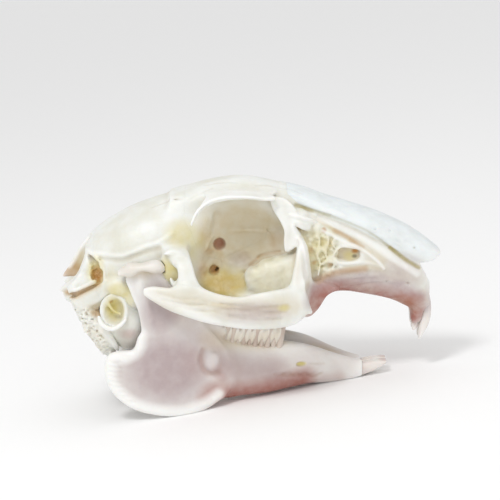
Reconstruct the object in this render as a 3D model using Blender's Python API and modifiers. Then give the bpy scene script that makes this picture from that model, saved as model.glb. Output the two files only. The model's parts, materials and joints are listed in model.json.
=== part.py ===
"""A domestic rabbit's skull with its lower jaw, life size, as separate solid bones and teeth.

The skull is modelled in millimetres in its own frame: X runs from the nape to the nose, Y to
the animal's left, Z up. Right-hand forms are made first and mirrored. At the end the whole is
tipped onto the three places where the jaw touches a table, and scaled to metres.
"""

import math

import bmesh
import bpy
import numpy as np
from mathutils import Matrix, Vector

# Driving sizes, in millimetres
REST_TILT_DEG = 7.48
REST_FLAT_DEPTH = 0.35
SUTURE_GAP = 0.34
VOXEL_CRANIUM = 0.55
VOXEL_JAW = 0.5
VOXEL_PLATE = 0.6
CRANIUM_TRIANGLES = 3600
JAW_TRIANGLES = 1200
BULLA_TRIANGLES = 360
MEETING_GAP = 0.32
TO_METRES = 0.001

# Middles of the bones, by which the parted pieces of the cranium are told apart
WHOLE_BONES = {
    "occipital": (6.0, 0.0, 26.0),
    "braincase": (22.0, 0.0, 36.0),
    "zygoma_right": (36.0, -20.0, 25.0),
    "zygoma_left": (36.0, 20.0, 25.0),
}
HALVED_BONES = {
    "frontal": (43.0, 0.0, 43.0),
    "nasal": (71.0, 0.0, 41.0),
    "maxilla": (56.0, 0.0, 33.0),
    "premaxilla": (74.0, 0.0, 32.0),
}

# Finishes, as linear base colour and roughness
BONE = ("bone", (0.80, 0.78, 0.72, 1.0), 0.45)
JAW_BONE = ("jaw_bone", (0.76, 0.71, 0.68, 1.0), 0.45)
ENAMEL = ("enamel", (0.82, 0.76, 0.68, 1.0), 0.25)


def clear_scene():
    """Empties the scene of every object."""
    for obj in list(bpy.data.objects):
        bpy.data.objects.remove(obj)


def make_collection(name):
    """A new collection linked to the scene."""
    collection = bpy.data.collections.new(name)
    bpy.context.scene.collection.children.link(collection)
    return collection


def make_material(finish):
    """A Principled material from a (name, colour, roughness) finish."""
    name, colour, roughness = finish
    material = bpy.data.materials.new(name)
    material.use_nodes = True
    shader = material.node_tree.nodes["Principled BSDF"]
    shader.inputs["Base Color"].default_value = colour
    shader.inputs["Roughness"].default_value = roughness
    return material


def face_out(bm):
    """Turns the faces of a closed bmesh outwards."""
    bmesh.ops.recalc_face_normals(bm, faces=bm.faces)
    if bm.calc_volume(signed=True) < 0:
        bmesh.ops.reverse_faces(bm, faces=bm.faces)


def object_from_bmesh(name, bm):
    """A mesh object in the scene from a closed bmesh, which is freed."""
    face_out(bm)
    mesh = bpy.data.meshes.new(name)
    bm.to_mesh(mesh)
    bm.free()
    obj = bpy.data.objects.new(name, mesh)
    bpy.context.scene.collection.objects.link(obj)
    return obj


def ellipsoid(centre, radii, tilt_deg=(0.0, 0.0, 0.0), segments=28):
    """A ball stretched to three radii and turned about X, Y and Z."""
    bm = bmesh.new()
    bmesh.ops.create_uvsphere(bm, u_segments=segments, v_segments=segments * 5 // 8, radius=1.0)
    turn = Matrix.Rotation(math.radians(tilt_deg[2]), 4, "Z")
    turn @= Matrix.Rotation(math.radians(tilt_deg[1]), 4, "Y")
    turn @= Matrix.Rotation(math.radians(tilt_deg[0]), 4, "X")
    bm.transform(Matrix.Translation(centre) @ turn @ Matrix.Diagonal((*radii, 1.0)))
    return object_from_bmesh("ball", bm)


def box(low, high):
    """A box between two corners."""
    bm = bmesh.new()
    bmesh.ops.create_cube(bm, size=1.0)
    low, high = Vector(low), Vector(high)
    bm.transform(Matrix.Translation((low + high) / 2) @ Matrix.Diagonal((*(high - low), 1.0)))
    return object_from_bmesh("box", bm)


def superellipse(count, power):
    """Points round a unit superellipse, as (a, b) pairs."""
    points = []
    for i in range(count):
        angle = 2 * math.pi * i / count
        c, s = math.cos(angle), math.sin(angle)
        points.append(
            (
                math.copysign(abs(c) ** (2 / power), c),
                math.copysign(abs(s) ** (2 / power), s),
            )
        )
    return points


def eased(rows, steps):
    """Rows of numbers with steps more between each two, on a curve through them all."""
    rows = np.array(rows, float)
    ends = np.vstack([2 * rows[0] - rows[1], rows, 2 * rows[-1] - rows[-2]])
    made = []
    for i in range(len(rows) - 1):
        a, b, c, d = ends[i : i + 4]
        for t in np.arange(steps) / steps:
            made.append(
                0.5
                * (
                    2 * b
                    + (c - a) * t
                    + (2 * a - 5 * b + 4 * c - d) * t * t
                    + (3 * b - a - 3 * c + d) * t ** 3
                )
            )
    return np.vstack([made, rows[-1]])


def loft(stations, side=(0, 1, 0), up=(0, 0, 1), power=2.4, count=24, steps=4):
    """A closed skin over rounded sections, on a smooth curve through the stations.

    Each station is (x, y, z, half_side, half_up); side and up are the section's directions.
    """
    side, up = Vector(side).normalized(), Vector(up).normalized()
    outline = superellipse(count, power)
    bm = bmesh.new()
    rings = []
    for x, y, z, half_side, half_up in eased(stations, steps):
        middle = Vector((x, y, z))
        rings.append(
            [bm.verts.new(middle + side * (a * half_side) + up * (b * half_up)) for a, b in outline]
        )
    for first, second in zip(rings, rings[1:]):
        for i in range(count):
            j = (i + 1) % count
            bm.faces.new((first[i], first[j], second[j], second[i]))
    bm.faces.new(rings[0])
    bm.faces.new(rings[-1])
    return object_from_bmesh("loft", bm)


def along_x(stations, power=2.6, count=28):
    """A loft along X from (x, y middle, half width, z low, z high) stations."""
    sections = [
        (x, y, (low + high) / 2, half_width, (high - low) / 2)
        for x, y, half_width, low, high in stations
    ]
    return loft(sections, power=power, count=count)


def rod(points, radii):
    """A round rod through points, with a radius at each."""
    curve = bpy.data.curves.new("rod", "CURVE")
    curve.dimensions = "3D"
    curve.bevel_depth = 1.0
    curve.bevel_resolution = 3
    curve.resolution_u = 6
    curve.use_fill_caps = True
    spline = curve.splines.new("BEZIER")
    spline.bezier_points.add(len(points) - 1)
    for knot, place, radius in zip(spline.bezier_points, points, radii):
        knot.co = place
        knot.radius = radius
        knot.handle_left_type = knot.handle_right_type = "AUTO"
    obj = bpy.data.objects.new("rod", curve)
    bpy.context.scene.collection.objects.link(obj)
    return as_mesh(obj, weld=True)


def as_mesh(obj, weld=False):
    """The evaluated shape of an object as a plain mesh object in its place.

    weld joins the loose caps that a curve's mesh has.
    """
    bpy.context.view_layer.update()
    graph = bpy.context.evaluated_depsgraph_get()
    mesh = bpy.data.meshes.new_from_object(obj.evaluated_get(graph))
    result = bpy.data.objects.new(obj.name, mesh)
    bpy.context.scene.collection.objects.link(result)
    result.matrix_world = obj.matrix_world
    name = obj.name
    bpy.data.objects.remove(obj)
    result.name = name
    if weld:
        bm = bmesh.new()
        bm.from_mesh(mesh)
        bmesh.ops.remove_doubles(bm, verts=bm.verts, dist=0.0005)
        face_out(bm)
        bm.to_mesh(mesh)
        bm.free()
    return result


def slab(outline, thickness, rounded=True):
    """A flat solid over an outline in the XY plane, half its thickness to each side."""
    curve = bpy.data.curves.new("slab", "CURVE")
    curve.dimensions = "2D"
    curve.fill_mode = "BOTH"
    curve.extrude = thickness / 2
    curve.resolution_u = 5
    spline = curve.splines.new("BEZIER" if rounded else "POLY")
    knots = spline.bezier_points if rounded else spline.points
    knots.add(len(outline) - 1)
    for knot, (u, v) in zip(knots, outline):
        knot.co = (u, v, 0.0) if rounded else (u, v, 0.0, 1.0)
        if rounded:
            knot.handle_left_type = knot.handle_right_type = "AUTO"
    spline.use_cyclic_u = True
    flat = bpy.data.objects.new("slab", curve)
    bpy.context.scene.collection.objects.link(flat)
    return as_mesh(flat, weld=True)


def placed(obj, place):
    """The object with place(u, v, w) as the new spot of each of its points."""
    bm = bmesh.new()
    bm.from_mesh(obj.data)
    for vertex in bm.verts:
        vertex.co = place(*vertex.co)
    face_out(bm)
    bm.to_mesh(obj.data)
    bm.free()
    return obj


def plate(outline, thickness, plane, lift):
    """A thin bone of even thickness inside a rounded outline, bent by lift(u, v).

    The outline's points are (u, v) in the plane, XZ or XY. lift gives the third coordinate of
    the plate's middle.
    """
    flat = slab(outline, thickness)
    grain = flat.modifiers.new("grain", "REMESH")
    grain.mode = "VOXEL"
    grain.voxel_size = VOXEL_PLATE
    flat = as_mesh(flat)
    if plane == "XZ":
        return placed(flat, lambda u, v, w: (u, w + lift(u, v), v))
    return placed(flat, lambda u, v, w: (u, v, w + lift(u, v)))


def slit(points, y_low, y_high):
    """A thin blade that stands on a line of (x, z) points, from one Y to another."""
    line = [Vector(point) for point in points]
    sides = ([], [])
    for i, point in enumerate(line):
        before = (point - line[max(i - 1, 0)]).normalized()
        after = (line[min(i + 1, len(line) - 1)] - point).normalized()
        along = (before + after).normalized()
        across = Vector((-along.y, along.x)) * SUTURE_GAP / 2
        sides[0].append(tuple(point + across))
        sides[1].append(tuple(point - across))
    blade = slab(sides[0] + sides[1][::-1], y_high - y_low, rounded=False)
    middle = (y_low + y_high) / 2
    return placed(blade, lambda u, v, w: (u, w + middle, v))


def mirrored(obj, name):
    """A copy of a right-hand object for the left."""
    copy = bpy.data.objects.new(name, obj.data.copy())
    bpy.context.scene.collection.objects.link(copy)
    return placed(copy, lambda x, y, z: (x, -y, z))


def joined(name, pieces):
    """One object that holds the meshes of all the pieces, which are removed."""
    bm = bmesh.new()
    for piece in pieces:
        mesh = piece.data.copy()
        mesh.transform(piece.matrix_world)
        bm.from_mesh(mesh)
        bpy.data.meshes.remove(mesh)
        bpy.data.objects.remove(piece)
    mesh = bpy.data.meshes.new(name)
    bm.to_mesh(mesh)
    bm.free()
    obj = bpy.data.objects.new(name, mesh)
    bpy.context.scene.collection.objects.link(obj)
    return obj


def fused(name, pieces, voxel, smoothing):
    """The pieces grown together into one smooth bone."""
    obj = joined(name, pieces)
    remesh = obj.modifiers.new("fuse", "REMESH")
    remesh.mode = "VOXEL"
    remesh.voxel_size = voxel
    smooth = obj.modifiers.new("soften", "SMOOTH")
    smooth.factor = 0.5
    smooth.iterations = smoothing
    return as_mesh(obj)


def boolean(obj, pieces, operation, solver="MANIFOLD"):
    """Cuts the pieces from an object, or adds them to it, and removes them."""
    tools = make_collection("tools")
    for piece in pieces:
        for parent in list(piece.users_collection):
            parent.objects.unlink(piece)
        tools.objects.link(piece)
    modifier = obj.modifiers.new("tool", "BOOLEAN")
    modifier.operation = operation
    modifier.solver = solver
    modifier.operand_type = "COLLECTION"
    modifier.collection = tools
    result = as_mesh(obj)
    for piece in list(tools.objects):
        bpy.data.objects.remove(piece)
    bpy.data.collections.remove(tools)
    return result


def thinned(obj, triangles):
    """The object with its flat areas merged down to about that many triangles."""
    obj.data.calc_loop_triangles()
    modifier = obj.modifiers.new("thin", "DECIMATE")
    modifier.ratio = min(1.0, triangles / len(obj.data.loop_triangles))
    return as_mesh(obj)


def islands(obj):
    """The closed pieces of an object, each a new object, largest first."""
    bm = bmesh.new()
    bm.from_mesh(obj.data)
    left = set(bm.verts)
    groups = []
    while left:
        stack = [left.pop()]
        group = set(stack)
        while stack:
            for edge in stack.pop().link_edges:
                for vertex in edge.verts:
                    if vertex in left:
                        left.discard(vertex)
                        group.add(vertex)
                        stack.append(vertex)
        groups.append(group)
    groups.sort(key=len, reverse=True)
    found = []
    for group in groups:
        part = bmesh.new()
        copy = {v: part.verts.new(v.co) for v in group}
        for face in bm.faces:
            if face.verts[0] in group:
                part.faces.new([copy[v] for v in face.verts])
        found.append(object_from_bmesh("island", part))
    bm.free()
    bpy.data.objects.remove(obj)
    return found


def blend(x, knots):
    """Straight interpolation through (x, value) knots."""
    return float(np.interp(x, [k[0] for k in knots], [k[1] for k in knots]))


def grown(stations, by):
    """Loft stations whose two half sizes are larger by a gap."""
    return [(*station[:3], station[3] + by, station[4] + by) for station in stations]


def brain_forms():
    """The braincase, the roof between the eyes, the wall between the orbits and the snout."""
    braincase = along_x(
        [
            (2.2, 0, 4.6, 27.0, 32.0),
            (3.6, 0, 7.2, 25.4, 34.8),
            (6.4, 0, 9.6, 24.2, 38.6),
            (10.0, 0, 11.5, 23.4, 41.8),
            (15.0, 0, 12.9, 23.0, 44.8),
            (20.0, 0, 13.2, 23.2, 47.0),
            (26.0, 0, 12.2, 24.0, 48.9),
            (31.0, 0, 10.2, 25.4, 50.2),
            (36.0, 0, 7.4, 27.0, 51.2),
        ],
        power=2.25,
    )
    squamosal = ellipsoid((20.0, -8.6, 34.0), (9.0, 5.0, 6.4), (0, -6, 0))
    roof = along_x(
        [
            (26.0, 0, 8.0, 42.5, 49.4),
            (31.0, 0, 8.2, 43.5, 50.8),
            (37.0, 0, 7.2, 44.0, 51.7),
            (43.0, 0, 6.8, 43.0, 52.0),
            (49.0, 0, 7.6, 42.0, 51.6),
            (55.0, 0, 8.2, 40.0, 50.4),
            (60.0, 0, 8.0, 38.0, 48.9),
        ]
    )
    septum = along_x(
        [
            (26.0, 0, 6.0, 27.0, 44.0),
            (32.0, 0, 4.4, 27.5, 46.0),
            (38.0, 0, 3.0, 27.5, 47.0),
            (46.0, 0, 2.8, 26.0, 46.0),
            (54.0, 0, 4.5, 24.0, 46.0),
            (59.0, 0, 7.0, 23.5, 46.0),
        ]
    )
    snout = along_x(
        [
            (54.0, 0, 7.4, 24.5, 50.4),
            (60.0, 0, 8.5, 24.0, 48.4),
            (66.0, 0, 8.0, 25.4, 45.6),
            (72.0, 0, 7.2, 24.7, 43.0),
            (78.0, 0, 6.5, 23.5, 39.6),
            (82.5, 0, 6.0, 21.5, 36.2),
            (85.4, 0, 5.3, 20.6, 33.4),
            (87.2, 0, 4.2, 21.4, 30.4),
        ],
        power=2.8,
    )
    nasals = along_x(
        [
            (52.0, 0, 6.6, 46.0, 51.3),
            (57.0, 0, 7.6, 45.0, 50.2),
            (62.0, 0, 7.9, 43.0, 48.4),
            (68.0, 0, 7.7, 40.0, 46.6),
            (74.0, 0, 7.2, 37.0, 44.7),
            (80.0, 0, 6.5, 33.4, 42.2),
            (84.0, 0, 5.8, 31.6, 39.9),
            (87.4, 0, 4.8, 31.6, 37.4),
            (89.2, 0, 3.6, 32.4, 36.0),
            (90.0, 0, 2.4, 33.4, 35.0),
        ],
        power=2.3,
    )
    muzzle = loft(
        [
            (81.6, 0, 31.0, 5.0, 5.6),
            (83.4, 0, 28.0, 3.9, 5.2),
            (84.6, 0, 24.8, 3.1, 4.7),
            (85.0, 0, 21.8, 2.5, 4.1),
            (84.8, 0, 19.8, 2.1, 3.5),
        ],
        side=(0.94, 0, 0.34),
        up=(0, 1, 0),
        power=2.6,
    )
    base = along_x(
        [
            (3.0, 0, 4.0, 24.2, 30.0),
            (10.0, 0, 4.2, 22.4, 30.0),
            (20.0, 0, 3.6, 23.0, 30.0),
            (30.0, 0, 3.0, 25.0, 31.0),
            (38.0, 0, 2.6, 26.0, 31.0),
        ]
    )
    return [braincase, squamosal, roof, septum, snout, nasals, muzzle, base]


def socket_forms():
    """The right upper cheek-tooth sockets."""
    sockets = along_x(
        [
            (39.6, -7.6, 1.6, 23.0, 28.0),
            (42.0, -8.4, 3.2, 22.2, 31.0),
            (48.0, -9.0, 3.8, 21.6, 34.0),
            (54.0, -8.9, 3.9, 21.4, 35.6),
            (58.4, -7.9, 3.3, 21.8, 34.0),
            (61.0, -6.0, 2.6, 23.8, 32.0),
        ]
    )
    return [sockets]


def alveolar_bulge():
    """The swelling that the roots of the cheek teeth make in the floor of the right orbit."""
    return ellipsoid((50.0, -9.6, 31.0), (6.6, 4.3, 4.2))


def supraorbital_form():
    """The thin shelf over the right orbit, with its two free points."""
    outline = [
        (31.0, -13.9),
        (33.4, -13.0),
        (37.0, -13.3),
        (41.5, -13.5),
        (45.6, -13.1),
        (48.4, -12.6),
        (50.6, -11.4),
        (49.6, -9.4),
        (50.6, -6.0),
        (42.0, -3.6),
        (35.4, -5.6),
        (34.2, -9.6),
    ]
    edge = [
        (31.0, 43.2),
        (32.5, 46.0),
        (34.4, 48.0),
        (36.7, 49.2),
        (40.0, 49.9),
        (44.0, 50.0),
        (50.0, 49.2),
    ]

    def height(x, y):
        share = min(1.0, max(0.0, (-y - 4.0) / 9.0))
        return (1 - share) * 50.8 + share * blend(x, edge) - 0.55

    return plate(outline, 1.3, "XY", height)


def cheek_forms():
    """The right cheek: its root on the face, the arch, the strut behind and the tear bone."""
    root = loft(
        [
            (58.2, -4.0, 31.0, 3.0, 8.0),
            (57.8, -9.0, 30.6, 2.4, 7.6),
            (57.4, -13.0, 30.0, 1.9, 6.9),
            (56.6, -16.6, 28.2, 1.8, 5.6),
            (55.0, -19.2, 25.8, 1.8, 4.0),
        ],
        side=(1, 0, 0),
    )
    spine = rod([(58.2, -14.0, 27.0), (58.4, -15.6, 23.4)], [1.7, 1.1])
    arch = along_x(
        [
            (20.4, -18.7, 0.7, 28.2, 29.7),
            (22.6, -18.9, 1.0, 26.7, 30.2),
            (26.5, -19.5, 1.15, 24.6, 29.6),
            (31.0, -20.1, 1.2, 23.1, 29.3),
            (36.0, -20.5, 1.25, 21.8, 27.9),
            (42.0, -20.6, 1.3, 20.8, 26.6),
            (48.0, -20.2, 1.5, 20.4, 26.9),
            (53.0, -19.2, 1.9, 20.9, 28.4),
            (57.0, -17.0, 2.0, 22.6, 30.0),
        ],
        power=3.0,
    )
    strut_root = loft(
        [
            (26.6, -8.6, 37.4, 4.2, 2.0),
            (27.2, -12.5, 37.6, 3.2, 1.5),
            (28.0, -15.2, 37.0, 2.3, 1.3),
            (28.8, -17.2, 35.4, 1.8, 1.3),
        ],
        side=(1, 0, 0),
    )
    strut = loft(
        [
            (28.2, -15.6, 36.9, 1.9, 1.2),
            (29.0, -17.6, 34.8, 1.8, 1.2),
            (29.8, -19.0, 31.8, 2.3, 1.2),
            (30.8, -19.9, 28.2, 3.8, 1.2),
        ],
        side=(1, 0, 0),
        up=(0, 0.9, 0.3),
    )
    tear_bone = plate(
        [
            (48.8, 49.0),
            (53.0, 49.4),
            (57.0, 45.0),
            (58.0, 38.0),
            (57.6, 33.0),
            (55.0, 33.0),
            (54.2, 37.0),
            (52.0, 42.0),
        ],
        1.8,
        "XZ",
        lambda x, z: -(9.0 + 0.14 * (50.0 - z)),
    )
    return [root, spine, arch, strut_root, strut, tear_bone]


def base_forms():
    """The right half of the underside and back: pterygoid, mastoid and nape."""
    pterygoid = plate(
        [
            (27.0, 28.0),
            (30.6, 22.6),
            (32.6, 20.8),
            (34.6, 21.2),
            (36.4, 24.0),
            (37.4, 29.5),
            (31.0, 31.0),
        ],
        1.5,
        "XZ",
        lambda x, z: -4.3 - 0.1 * (30.0 - z),
    )
    mastoid = loft(
        [
            (4.6, -7.6, 31.5, 2.2, 2.6),
            (5.0, -8.6, 26.5, 3.0, 3.0),
            (6.8, -9.3, 21.5, 2.9, 2.9),
            (8.8, -9.5, 17.0, 2.4, 2.4),
            (10.4, -9.3, 13.0, 1.6, 1.7),
            (11.4, -9.0, 11.2, 0.8, 0.9),
        ],
        side=(1, 0, 0),
        up=(0, 1, 0),
    )
    ear_shelf = ellipsoid((8.6, -10.2, 27.6), (4.4, 2.6, 4.2), (0, 20, 0))
    condyle = ellipsoid((2.8, -4.4, 26.0), (2.3, 2.2, 3.0), (20, 0, 20))
    shield = loft(
        [
            (7.2, 0, 37.8, 2.4, 1.3),
            (4.9, 0, 34.6, 4.4, 1.4),
            (2.5, 0, 31.0, 5.8, 1.3),
            (1.4, 0, 28.9, 5.2, 0.9),
        ],
        side=(0, 1, 0),
        up=(0.85, 0, -0.5),
        power=3.2,
    )
    return [pterygoid, mastoid, ear_shelf, condyle, shield]


def bulla_forms(grow=0.0, segments=28):
    """The right ear capsule and its short tube, grown by a gap where they cut the bone round them."""
    radii = (5.6 + grow, 4.7 + grow, 6.2 + grow)
    capsule = ellipsoid((15.0, -9.0, 20.4), radii, (0, 12, 0), segments)
    tube_stations = [
        (14.6, -8.0, 21.8, 4.2, 4.2),
        (13.8, -12.0, 23.4, 3.5, 3.5),
        (13.2, -14.4, 24.4, 3.1, 3.1),
    ]
    tube = loft(
        grown(tube_stations, grow),
        side=(1, 0, 0),
        up=(0, 0.3, 1),
        power=2.0,
        count=segments // 2,
        steps=2,
    )
    return [capsule, tube]


def right_bulla():
    """The right ear capsule with its open tube."""
    bone = fused("bulla_right", bulla_forms(), VOXEL_JAW, 2)
    hole = rod([(12.4, -19.0, 25.4), (13.0, -14.0, 24.3), (14.2, -10.6, 22.6)], [2.3, 2.1, 1.7])
    return thinned(boolean(bone, [hole], "DIFFERENCE"), BULLA_TRIANGLES)


def deep_hollows():
    """The right orbit and the room behind it, cut before the thin bones are added."""
    orbit = ellipsoid((44.2, -15.0, 38.4), (12.6, 11.6, 10.4), (0, 8, 0))
    lower_orbit = ellipsoid((37.6, -15.0, 31.0), (6.6, 9.6, 8.0))
    return [orbit, lower_orbit]


def small_hollows():
    """The openings of the cranium, in the middle and on the right."""
    optic_hole = rod([(37.2, -8.0, 37.6), (37.2, 2.0, 37.6)], [1.5, 1.5])
    sphenoid_hole = rod([(38.4, -9.0, 31.2), (31.5, -3.6, 31.2)], [1.4, 1.2])
    nostril = along_x(
        [
            (74.0, 0, 2.4, 31.0, 37.5),
            (80.0, 0, 4.2, 29.2, 37.6),
            (86.0, 0, 4.3, 27.4, 35.4),
            (94.0, 0, 5.0, 26.0, 34.0),
        ]
    )
    choana = along_x(
        [
            (27.0, 0, 2.2, 12.0, 24.0),
            (34.0, 0, 2.9, 12.0, 26.4),
            (43.0, 0, 3.4, 12.0, 28.0),
            (47.0, 0, 2.4, 12.0, 26.0),
        ]
    )
    magnum = rod([(-3.0, 0, 27.6), (3.0, 0, 27.6), (9.0, 0, 28.6)], [3.4, 3.2, 2.8])
    incisive_slot = along_x(
        [
            (61.0, -2.1, 0.7, 16.0, 27.5),
            (65.0, -2.4, 1.4, 16.0, 28.6),
            (72.0, -2.0, 1.3, 16.0, 28.2),
            (78.5, -1.4, 0.6, 16.0, 26.0),
        ]
    )
    return [optic_hole, sphenoid_hole, nostril, choana, magnum, incisive_slot]


def upper_incisor_stations():
    """The right upper gnawing tooth, from inside its socket to its edge."""
    return [
        (86.1, -1.65, 25.2, 1.25, 1.15),
        (86.6, -1.65, 22.4, 1.3, 1.25),
        (86.6, -1.65, 19.4, 1.3, 1.3),
        (86.1, -1.65, 16.8, 1.25, 1.15),
        (85.5, -1.65, 15.0, 1.2, 0.65),
        (85.2, -1.65, 13.9, 1.1, 0.3),
    ]


def peg_tooth_stations():
    """The small right tooth behind the gnawing tooth."""
    return [
        (84.1, -1.3, 20.4, 0.7, 0.65),
        (84.0, -1.3, 18.4, 0.75, 0.65),
        (83.9, -1.3, 16.9, 0.7, 0.55),
        (83.9, -1.3, 16.0, 0.55, 0.4),
    ]


def whole_cranium():
    """The cranium as one closed, mirrored bone, with room left for ear, jaw head and teeth."""
    core = fused("core", brain_forms() + socket_forms(), VOXEL_CRANIUM, 3)
    core = boolean(core, deep_hollows(), "DIFFERENCE")
    forms = [core, supraorbital_form(), alveolar_bulge()] + cheek_forms() + base_forms()
    bone = fused("cranium", forms, VOXEL_CRANIUM, 4)
    bone = boolean(bone, small_hollows(), "DIFFERENCE")
    bone = fused("cranium", [bone], VOXEL_CRANIUM, 2)
    bone = thinned(bone, CRANIUM_TRIANGLES)
    teeth = tooth_row(56.8, (2.8, 3.5, 3.4, 3.2, 3.0, 1.3), -8.3, -9.0, 1.9, 19.3, 24.5)
    bone = boolean(bone, teeth, "UNION")
    tooth_room = [
        incisor(grown(upper_incisor_stations(), MEETING_GAP)),
        incisor(grown(peg_tooth_stations(), MEETING_GAP)),
    ]
    ear_room = bulla_forms(MEETING_GAP, segments=16)
    bone = boolean(bone, ear_room + [jaw_head(MEETING_GAP, count=12)] + tooth_room, "DIFFERENCE")
    mirror = bone.modifiers.new("mirror", "MIRROR")
    mirror.use_axis = (False, True, False)
    mirror.use_bisect_axis = (False, True, False)
    mirror.use_bisect_flip_axis = (False, True, False)
    mirror.merge_threshold = 0.0001
    return as_mesh(bone)


def sutures():
    """The blades that part the cranium into its bones."""
    nape = [(8.0, 56.0), (8.0, 40.0), (8.4, 32.0), (9.4, 27.0), (12.0, 22.0), (13.6, 16.0), (13.6, 8.0)]
    fork = (37.8, 33.6)
    corner = (56.4, 47.1)
    crown = [(29.5, 56.0), (29.5, 44.0), (31.2, 41.0), (32.3, 38.0), (32.3, 35.0), fork]
    brow = [(44.0, 36.4), (48.4, 38.6), (49.2, 44.0), (51.0, 47.0), corner]
    throat = [fork, (38.4, 28.0), (38.4, 16.0)]
    nose = [(52.6, 58.0), (53.4, 49.6), corner]
    nose_side = [
        (61.0, 45.2),
        (67.0, 42.8),
        (72.0, 40.4),
        (77.0, 37.0),
        (82.0, 33.2),
        (85.5, 31.5),
        (92.0, 30.6),
    ]
    snout_side = [
        corner,
        (66.0, 41.2),
        (73.0, 36.6),
        (74.4, 33.4),
        (71.0, 29.0),
        (68.6, 24.0),
        (68.6, 16.0),
    ]
    strut_end = [(24.0, 31.2), (36.0, 30.4)]
    arch_end = [(52.8, 34.0), (50.6, 16.0)]
    return [
        slit(nape, -20.0, 20.0),
        slit(crown + brow, -15.0, 15.0),
        slit(throat, -15.0, 15.0),
        slit(nose + nose_side, -15.0, 15.0),
        slit(snout_side, -15.0, 15.0),
        slit(strut_end, -24.0, -16.4),
        slit(strut_end, 16.4, 24.0),
        slit(arch_end, -24.0, -16.0),
        slit(arch_end, 16.0, 24.0),
    ]


def nearest_bone(pieces, place):
    """The piece whose box is centred nearest to a place."""

    def distance(piece):
        corners = [Vector(corner) for corner in piece.bound_box]
        middle = (corners[0] + corners[6]) / 2
        return (middle - Vector(place)).length

    return min(pieces, key=distance)


def cranium_bones():
    """The bones of the cranium as separate named objects."""
    bones = []
    pieces = islands(boolean(whole_cranium(), sutures(), "DIFFERENCE"))
    for name, place in WHOLE_BONES.items():
        bone = nearest_bone(pieces, place)
        pieces.remove(bone)
        bone.name = name
        bones.append(bone)
    for name, place in HALVED_BONES.items():
        both = nearest_bone(pieces, place)
        pieces.remove(both)
        middle_gap = box((0, -SUTURE_GAP / 2, -9), (99, SUTURE_GAP / 2, 99))
        halves = islands(boolean(both, [middle_gap], "DIFFERENCE"))
        halves.sort(key=lambda half: len(half.data.vertices), reverse=True)
        for half in halves[:2]:
            side = "right" if half.bound_box[0][1] < -1.0 else "left"
            half.name = name + "_" + side
            bones.append(half)
        for scrap in halves[2:]:
            bpy.data.objects.remove(scrap)
    for scrap in pieces:
        bpy.data.objects.remove(scrap)
    return bones


def jaw_bend(x, z):
    """The Y of the middle of the right jaw's plate, which turns inwards in an even curve."""
    if x < 21.0:
        inwards = 0.0
    elif x < 33.0:
        inwards = (x - 21.0) ** 2 / 24.0
    else:
        inwards = x - 27.0
    return -(15.6 - 0.33 * inwards + 0.045 * (20.0 - z))


def jaw_plate_form():
    """The thin plate of the right jaw: condyle neck, branch and broad angle."""
    outline = [
        (22.5, 33.5),
        (25.4, 29.6),
        (29.4, 25.6),
        (33.6, 20.6),
        (39.0, 14.0),
        (41.0, 7.0),
        (39.8, 3.2),
        (37.0, 1.4),
        (33.8, -0.3),
        (29.6, -1.3),
        (23.6, -0.9),
        (17.8, 0.6),
        (13.5, 3.6),
        (11.7, 7.4),
        (11.3, 11.2),
        (12.4, 12.9),
        (15.4, 12.1),
        (17.8, 13.0),
        (19.4, 15.6),
        (19.6, 19.6),
        (18.8, 24.0),
        (17.2, 28.0),
        (16.4, 32.0),
    ]
    return plate(outline, 1.7, "XZ", jaw_bend)


def jaw_head(grow=0.0, count=24):
    """The long head by which the right jaw hangs from the cranium."""
    stations = [
        (14.6, -15.2, 32.6, 1.3, 1.0),
        (17.2, -15.3, 33.4, 1.7, 1.4),
        (20.2, -15.4, 34.1, 2.0, 1.7),
        (23.2, -15.4, 34.2, 2.2, 1.9),
        (25.2, -15.2, 33.6, 1.5, 1.2),
    ]
    return loft(grown(stations, grow), power=2.2, count=count, steps=count // 6)


def jaw_forms():
    """The right jaw bone without its teeth."""
    body = loft(
        [
            (28.0, -13.6, 15.0, 1.0, 5.0),
            (33.0, -11.6, 11.6, 1.9, 6.8),
            (38.0, -9.9, 8.7, 2.8, 7.1),
            (43.0, -8.6, 8.0, 3.2, 6.2),
            (49.0, -7.4, 7.8, 3.2, 5.6),
            (54.0, -6.1, 8.2, 3.0, 5.2),
            (58.6, -4.6, 7.9, 2.8, 4.3),
            (63.0, -3.2, 7.0, 2.5, 3.5),
            (68.0, -2.3, 6.3, 2.1, 2.5),
            (71.6, -1.9, 6.6, 1.7, 1.9),
        ],
        power=2.5,
    )
    neck = rod([(19.6, -15.4, 33.0), (20.6, -15.5, 27.0), (22.6, -15.6, 18.0)], [1.9, 1.5, 1.0])
    front_ridge = rod(
        [(23.4, -15.3, 32.4), (27.6, -15.0, 27.0), (33.0, -12.6, 21.0), (37.0, -10.4, 16.4)],
        [1.0, 1.0, 1.1, 1.2],
    )
    rim_places = [
        (19.6, 17.0),
        (18.2, 13.9),
        (15.0, 13.2),
        (12.5, 12.1),
        (12.4, 7.7),
        (14.4, 4.3),
        (18.4, 1.6),
        (23.9, 0.3),
        (29.5, 0.0),
        (33.8, 1.1),
        (37.8, 3.4),
    ]
    rim = rod(
        [(x, jaw_bend(x, z), z) for x, z in rim_places],
        [0.9, 1.1, 1.3, 1.4, 1.2, 1.1, 1.2, 1.3, 1.3, 1.2, 1.0],
    )
    ledge = rod(
        [(52.0, -5.6, 12.6), (58.0, -4.8, 11.6), (64.0, -3.2, 9.6), (70.0, -2.2, 7.8)],
        [1.7, 1.5, 1.2, 0.9],
    )
    knob = ellipsoid((36.4, -12.6, 9.6), (2.0, 1.8, 2.0))
    return [body, jaw_head(), neck, front_ridge, rim, ledge, knob, jaw_plate_form()]


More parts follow.
